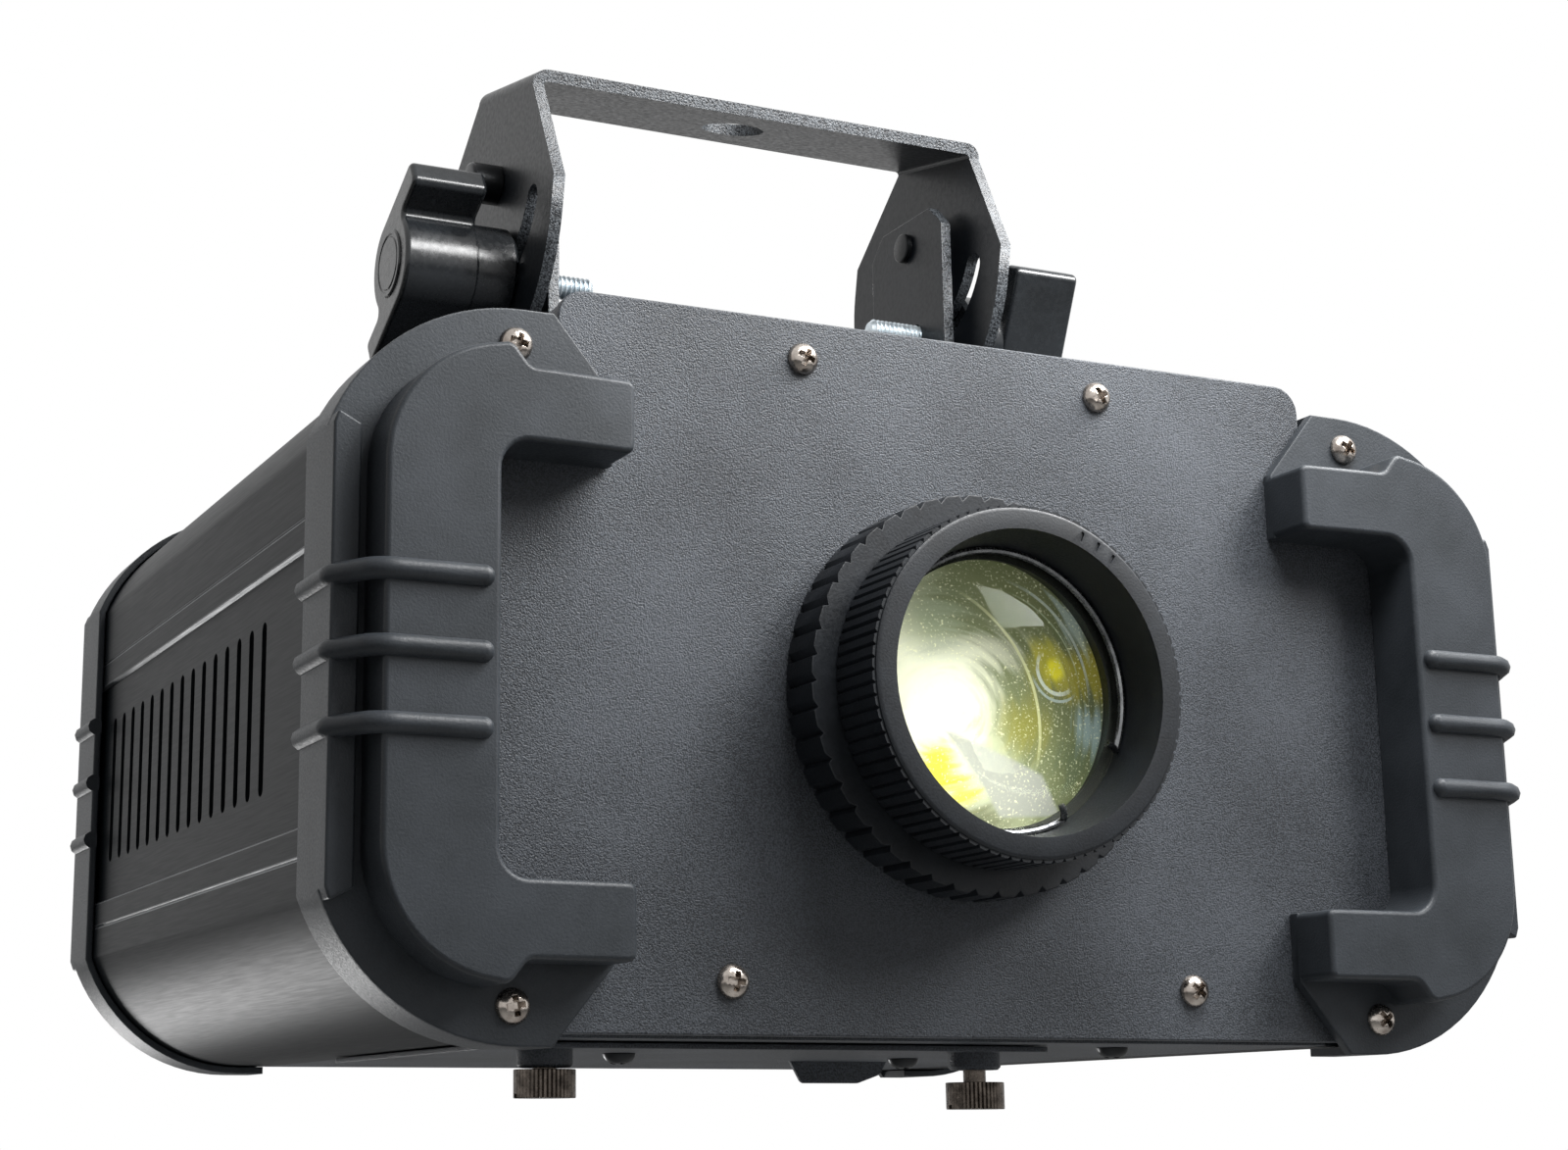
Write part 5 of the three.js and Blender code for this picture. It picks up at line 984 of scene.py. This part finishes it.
def thumb_shape():
    head = prism(toothed(6.2, 0.35, 44, (0.2, 0.7)), -5.6, 0, "Z")
    soften(head, 0.3, 2, lambda e: abs(e.calc_face_angle(0)) > 1.2)
    slot = boxed((-9, 9), (-0.6, 0.6), (-7, -4.7))
    return combined(head, [rod(2.4, -0.2, 4.8, "Z")], [slot])


for side, (x, drop) in THUMBS.items():
    shape = copied(thumb_shape(), Matrix.Translation((x, THUMB_Y, THUMB_SEAT - drop)))
    node = "thumb_screw_" + side
    piece("captive_screw_" + side, shape, "thumb_" + side, "dark_nickel", dark_nickel, stands_for=[node])


def thumb_holes(radius):
    return [rod(radius, -90, -60, "Z", (x, THUMB_Y, 0)) for x, _ in THUMBS.values()]


def fold(y, z):
    """A sheet's turned-in end, with rounded free corners."""
    corners = [(-FOLD_HALF, z[0], 4), (FOLD_HALF, z[0], 4), (FOLD_HALF, z[1], 0), (-FOLD_HALF, z[1], 0)]
    return soften(prism(outline(corners, 4), y, y + SHEET), 0.25, 2)


def lid_shape():
    inner = COVER_HALF - SHEET
    edge = outline([
        (-COVER_HALF, FLANGE - SHEET, 0), (-COVER_HALF, LID, 5.4), (COVER_HALF, LID, 5.4),
        (COVER_HALF, FLANGE - SHEET, 0), (inner, FLANGE - SHEET, 0), (inner, LID - SHEET, 3.9),
        (-inner, LID - SHEET, 3.9), (-inner, FLANGE - SHEET, 0),
    ], 10)
    shell = soften(prism(edge, FRONT, REAR), 0.25, 2)
    ends = [fold(y, (LID - 16.9, LID - 0.8)) for y in (FRONT, REAR - SHEET)]
    return combined(shell, ends)


def base_shape():
    depth = (FRONT, REAR)
    sheet = soften(boxed((-COVER_HALF, COVER_HALF), depth, (-FLANGE, SHEET - FLANGE)), 0.25, 2)
    ends = [fold(y, (SHEET / 2 - FLANGE, 16.55 - FLANGE)) for y in (depth[0], depth[1] - SHEET)]
    window = boxed((-58, 24), (36, 104), (-90, -50), 3)
    return combined(sheet, ends, [window, *thumb_holes(3.6)])


def hatch_shape():
    low, high = -FLANGE - 1.5, -FLANGE - 0.3
    sheet = soften(boxed((-98, 28), (13.2, 124), (low, high), 4), 0.3, 2)
    within = low + 0.2
    lip_edge = [(1, within, 0), (4, low - 5, 1.5), (19, low - 5, 3), (25, low - 3, 2), (27, within, 0)]
    lip = soften(prism(outline(lip_edge, 4), 84, 85.2), 0.25, 2)
    collar = [(0, within), (5.6, within), (5.6, low - 3), (5, low - 3.6), (0, low - 3.6)]
    collars = [turned(collar, 48, "Z", (x, THUMB_Y, 0)) for x, _ in THUMBS.values()]
    return combined(sheet, [lip, *collars], thumb_holes(2.45))


piece("lid_sheet", lid_shape(), "housing", "textured_sheet", powder_coat, stands_for=["top_cover"])
piece("base_sheet", base_shape(), "housing", "textured_sheet", powder_coat, stands_for=["bottom_plate"])
piece("lamp_hatch", hatch_shape(), "hatch", "textured_sheet", powder_coat, stands_for=["access_cover"])

for name, at, body in (
    ("base_screw", (50, 24, -FLANGE), "housing"),
    ("hatch_screw_right", (17.5, 60, -FLANGE - 1.5), "hatch"),
    ("hatch_screw_left", (-62, 40, -FLANGE - 1.5), "hatch"),
):
    shape = copied(pan_screw(1), Matrix.Translation(at) @ spun(90, "X"))
    nodes = ["bottom_screw"] if name == "base_screw" else ()
    piece(name, shape, body, "screw", black_steel, stands_for=nodes)


# Rear panel, fan and fittings
FAN_X = 32
FAN_HALF = 40
FAN_BORE = 38
FAN_HUB = 15
FAN_BLADES = 7
FAN_SCREW = 35.75
TO_FAN = Matrix.Translation((FAN_X, 0, 0))
FAN_BACK = REAR - 20
INLET_X = -50
SOCKET_Z = -38
SWITCH_Z = -18
DIAL_Z = 22


# The rear sheet is the front one with other holes, turned about.
inlet_hole = prism(rectangle((-63.9, -36.1), (-48.2, -11.7), 1), -5, 9)
dial_hole = rod(4, -5, 9, at=(INLET_X, 0, DIAL_Z))
back = copied(panel(FAN_BORE, FAN_X, [inlet_hole, dial_hole]), FLIP_Y)
piece("back_sheet", back, "housing", "textured_sheet", powder_coat, stands_for=["rear_panel"])


def fan_case():
    square = rectangle((FAN_X - FAN_HALF, FAN_X + FAN_HALF), (-FAN_HALF, FAN_HALF), 5, 6)
    case = soften(prism(square, FAN_BACK, REAR), 0.4, 2)
    bore = rod(FAN_BORE, FAN_BACK - OVERRUN, REAR + OVERRUN, at=(FAN_X, 0, 0), steps=FINE_TURN)
    case = combined(case, cuts=[bore])
    hub_end = FAN_BACK + 4
    profile = [(0, 0), (FAN_HUB - 0.6, 0), (FAN_HUB, 0.6), (FAN_HUB, 4), (0, 4)]
    hub = turned(profile, 64, "Y", (FAN_X, FAN_BACK, 0))
    struts = []
    for turn in (20, 110, 200, 290):
        strut = prism(rectangle((10, FAN_BORE + 1), (-2, 2)), FAN_BACK, hub_end)
        struts.append(moved(soften(strut, 0.6, 2), TO_FAN @ spun(turn)))
    axle = rod(3, FAN_BACK - 5, FAN_BACK + 10, at=(FAN_X, 0, 0))
    return combined(case, [hub, *struts], [axle])


def fan_blade():
    bm = bmesh.new()
    bmesh.ops.create_grid(bm, x_segments=10, y_segments=8, size=1)
    for vert in bm.verts:
        along, over = vert.co.x, vert.co.y
        radius = 24.7 + 11.7 * along
        lean = math.radians(46 - 12 * along)
        chord = (6.4 + 0.7 * along) * over
        camber = 1.1 * (1 - over * over)
        vert.co = Vector((
            radius,
            REAR - 8.85 + chord * math.sin(lean) + camber * math.cos(lean),
            chord * math.cos(lean) - camber * math.sin(lean) + 3 * along,
        ))
    bmesh.ops.recalc_face_normals(bm, faces=bm.faces)
    bmesh.ops.solidify(bm, geom=bm.faces[:], thickness=1.1)
    return bm


def fan_wheel():
    hub = turned([(radius, REAR - depth) for radius, depth in (
        (0, 19.7), (2.95, 19.7), (2.95, 15.7), (FAN_HUB, 15.7), (FAN_HUB, 3.4), (FAN_HUB - 0.4, 2.5),
        (FAN_HUB - 1.4, 2), (10, 2), (9.6, 2.4), (0, 2.4),
    )], FINE_TURN)
    blade = fan_blade()
    blades = [copied(blade, spun(360 * i / FAN_BLADES)) for i in range(FAN_BLADES)]
    return moved(combined(hub, blades), TO_FAN)


def fan_grille():
    wire_y = DEPTH + GAP + 1
    centre = Vector((FAN_X, wire_y, 0))

    def ring(middle, radius, steps):
        path = [middle + Vector((p.x, 0, p.y)) for p in arc(0, 0, radius, 0, 360, steps)[:-1]]
        return tube(path, 0.8, 12, closed=True)

    parts = [ring(centre, radius, 72) for radius in (12, 18.5, 25, 31.5, 38)]
    for turn in (45, 135, 225, 315):
        out = Vector((math.cos(math.radians(turn)), 0, math.sin(math.radians(turn))))
        steps = ((12, 1.3), (39, 1.3), (44, 0.3), (47.4, 0))
        parts.append(tube([centre + out * r + Vector((0, y, 0)) for r, y in steps], 0.8, 12))
        parts.append(ring(centre + out * 50.56, 3, 24))
    first, *rest = parts
    return combined(first, rest)


piece("fan_case", fan_case(), "housing", "fan", fan_moulding, stands_for=["fan_frame"])
piece("fan_wheel", fan_wheel(), "fan", "fan", fan_moulding, stands_for=["fan_rotor"])
piece("fan_grille", fan_grille(), "housing", "wire", zinc, stands_for=["fan_guard"])
for i, (x, z) in enumerate(((-1, -1), (1, -1), (1, 1), (-1, 1))):
    front = seated(FAN_X + FAN_SCREW * x, -1.1, FAN_SCREW * z, i)
    nickel_screw(f"grille_screw_{i + 1}", pan_screw(3), FLIP_Y @ front)


def inlet_shape():
    low, high = DEPTH + GAP, DEPTH + GAP + 2.4
    plate = prism(rectangle((-74, -26), (-51, -9), 4, 6), low, high)
    soften(plate, 0.7, 3, lambda e: at_y(e, high))
    body = prism(rectangle((-63.6, -36.4), (-47.9, -12), 1), high - 19, high - 1)
    socket = ((-62, -46), (-38, -46), (-38, -34.5), (-43, -30), (-57, -30), (-62, -34.5))
    hollow = prism(outline([(*corner, 0.6) for corner in socket], 3), high - 15, high + 5)
    rocker_hole = prism(rectangle((-56.7, -43.3), (-22.4, -13.6), 0.4), high - 7.7, high + 5)
    return combined(plate, [body], [hollow, rocker_hole])


piece("inlet_body", inlet_shape(), "housing", "inlet", fan_moulding, stands_for=["power_inlet"])
for i, (x, z) in enumerate(((-7, -2), (0, 2.5), (7, -2))):
    x, z = INLET_X + x, SOCKET_Z + z
    blade = rectangle((x - 1, x + 1), (z - 2, z + 2), 0.3, 2)
    pin = soften(prism(blade, DEPTH - 14.3, DEPTH - 1.3), 0.35, 2)
    piece(f"inlet_blade_{i + 1}", pin, "housing", "screw", nickel)
for i, x in enumerate((-70, -30)):
    nickel_screw(f"inlet_screw_{i + 1}", pan_screw(2), FLIP_Y @ seated(x, -2.7, -30, i + 3))


def rocker_shape():
    edge = outline([(-6, 2.2, 0.5), (0, 1.1, 2), (6, 2.2, 0.5), (5, -3.4, 0.5), (-5, -3.4, 0.5)], 5)
    bm = soften(prism(edge, -4.1, 4.1, "Z"), 0.35, 3)
    return moved(bm, Matrix.Translation((INLET_X, DEPTH + 1.7, SWITCH_Z)) @ spun(-8, "Z"))


piece("rocker", rocker_shape(), "rocker", "rocker", red_moulding, stands_for=["switch_rocker"])


def dial_shape():
    base = DEPTH + GAP
    profile = [
        (0, base - 8.8), (3, base - 8.8), (3, base), (7.5, base), (7.5, base + 1.6), (6.6, base + 2),
        (6.4, base + 11.2), (5.8, base + 12), (0, base + 12),
    ]
    knurl = prism(toothed(7.0, 0.5, 36, (0.25, 0.7)), base + 1.8, base + 10.6)
    skirted = combined(turned(profile, 64), [soften(knurl, 0.2, 2, lambda e: at_y(e, base + 10.6))])
    return moved(skirted, Matrix.Translation((INLET_X, 0, DIAL_Z)))


piece("dial", dial_shape(), "dial", "dial", ring_moulding, stands_for=["speed_knob"])
mark_y = (DEPTH + GAP + 11.5, DEPTH + GAP + 12.2)
mark = boxed((INLET_X - 0.5, INLET_X + 0.5), mark_y, (DIAL_Z, DIAL_Z + 5.4), 0.2)
piece("dial_mark", soften(mark, 0.15, 2), "dial", "dial", white_ink)


# Finishes of the solids that stay as the frame has them
node_finish = {
    "anodised": extrusion,
    "bare_sheet": coated_sheet,
    "moulded_ring": hot_moulding,
    "etched_steel": etched_steel,
    "motor_case": zinc,
    "roller": rubber,
    "turned_aluminium": bare_aluminium,
    "clear_glass": pressed_glass,
    "led_board": white_mask,
    "circuit_board": green_mask,
}
for entry in frame["record"]["subparts"]:
    node = frame["nodes"].get(entry["node"])
    if node is None:
        continue
    finish = node_finish.get(entry["material_slot"], powder_coat)
    if not node.data.materials:
        node.data.materials.append(finish)
    for slot in node.material_slots:
        slot.material = finish

# Floor and backdrop, lamps and camera
FLOOR_HALF = 6
FLOOR_Z = -0.75
floor_edge = rectangle((-FLOOR_HALF, FLOOR_HALF), (-FLOOR_HALF, FLOOR_HALF))
floor_mesh = bpy.data.meshes.new("studio_floor")
floor_mesh.from_pydata([(x, y, FLOOR_Z) for x, y in floor_edge], [], [range(4)])
floor = placed("studio_floor", floor_mesh)
pale, tree, shader = blank("pale_floor")
pale_seen = add(tree, "LightPath").outputs["Is Camera Ray"]
feed(tree, shader, {
    "Base Color": linear("#e9e9e8"),
    "Roughness": 0.8,
    "Emission Color": linear("#ffffff"),
    "Emission Strength": maths(tree, "MULTIPLY", pale_seen, 0.45),
})
floor_mesh.materials.append(pale)

world = bpy.data.worlds.new("studio")
scene.world = world
world.use_nodes = True
tree = world.node_tree
rays = add(tree, "LightPath").outputs
seen = maths(tree, "MAXIMUM", rays["Is Camera Ray"], rays["Is Transmission Ray"])
seen = maths(tree, "MAXIMUM", seen, rays["Is Glossy Ray"])
feed(tree, tree.nodes["Background"], {
    "Color": linear("#ffffff"), "Strength": ranged(tree, seen, (0.0, 1.0), (0.05, 1.0)),
})


def lamp(name, at, aim, size, power):
    light = bpy.data.lights.new(name, "AREA")
    light.shape = "RECTANGLE"
    light.size, light.size_y = size
    light.energy = power
    made = placed(name, light)
    made.location = at
    made.rotation_euler = (Vector(aim) - Vector(at)).to_track_quat("-Z", "Y").to_euler()


lamp("key", (0.85, -1.05, 0.75), (0, -0.05, -0.16), (0.5, 0.5), 17)
lamp("near_top", (0.12, -0.2, 0.09), (0.08, -0.11, -0.1), (0.38, 0.1), 2.9)
lamp("left_low", (-0.22, 0.9, -0.52), (-0.14, 0.0, -0.2), (0.25, 0.25), 1.8)

optics = bpy.data.cameras.new("camera")
optics.sensor_width = 36
optics.sensor_fit = "HORIZONTAL"
optics.lens = 59.19
optics.shift_x = 0.0805
optics.shift_y = -0.0053
optics.clip_end = 30
camera = placed("camera", optics)
forward = Vector((0.40764, 0.88709, 0.21661)).normalized()
upward = Vector((-0.08410, -0.19974, 0.97625))
upward = (upward - forward * upward.dot(forward)).normalized()
camera.matrix_world = Matrix.Translation((-0.2825, -0.5655, -0.2599)) @ Matrix((
    forward.cross(upward), upward, -forward
)).transposed().to_4x4()
scene.camera = camera

scene.view_settings.view_transform = "Standard"
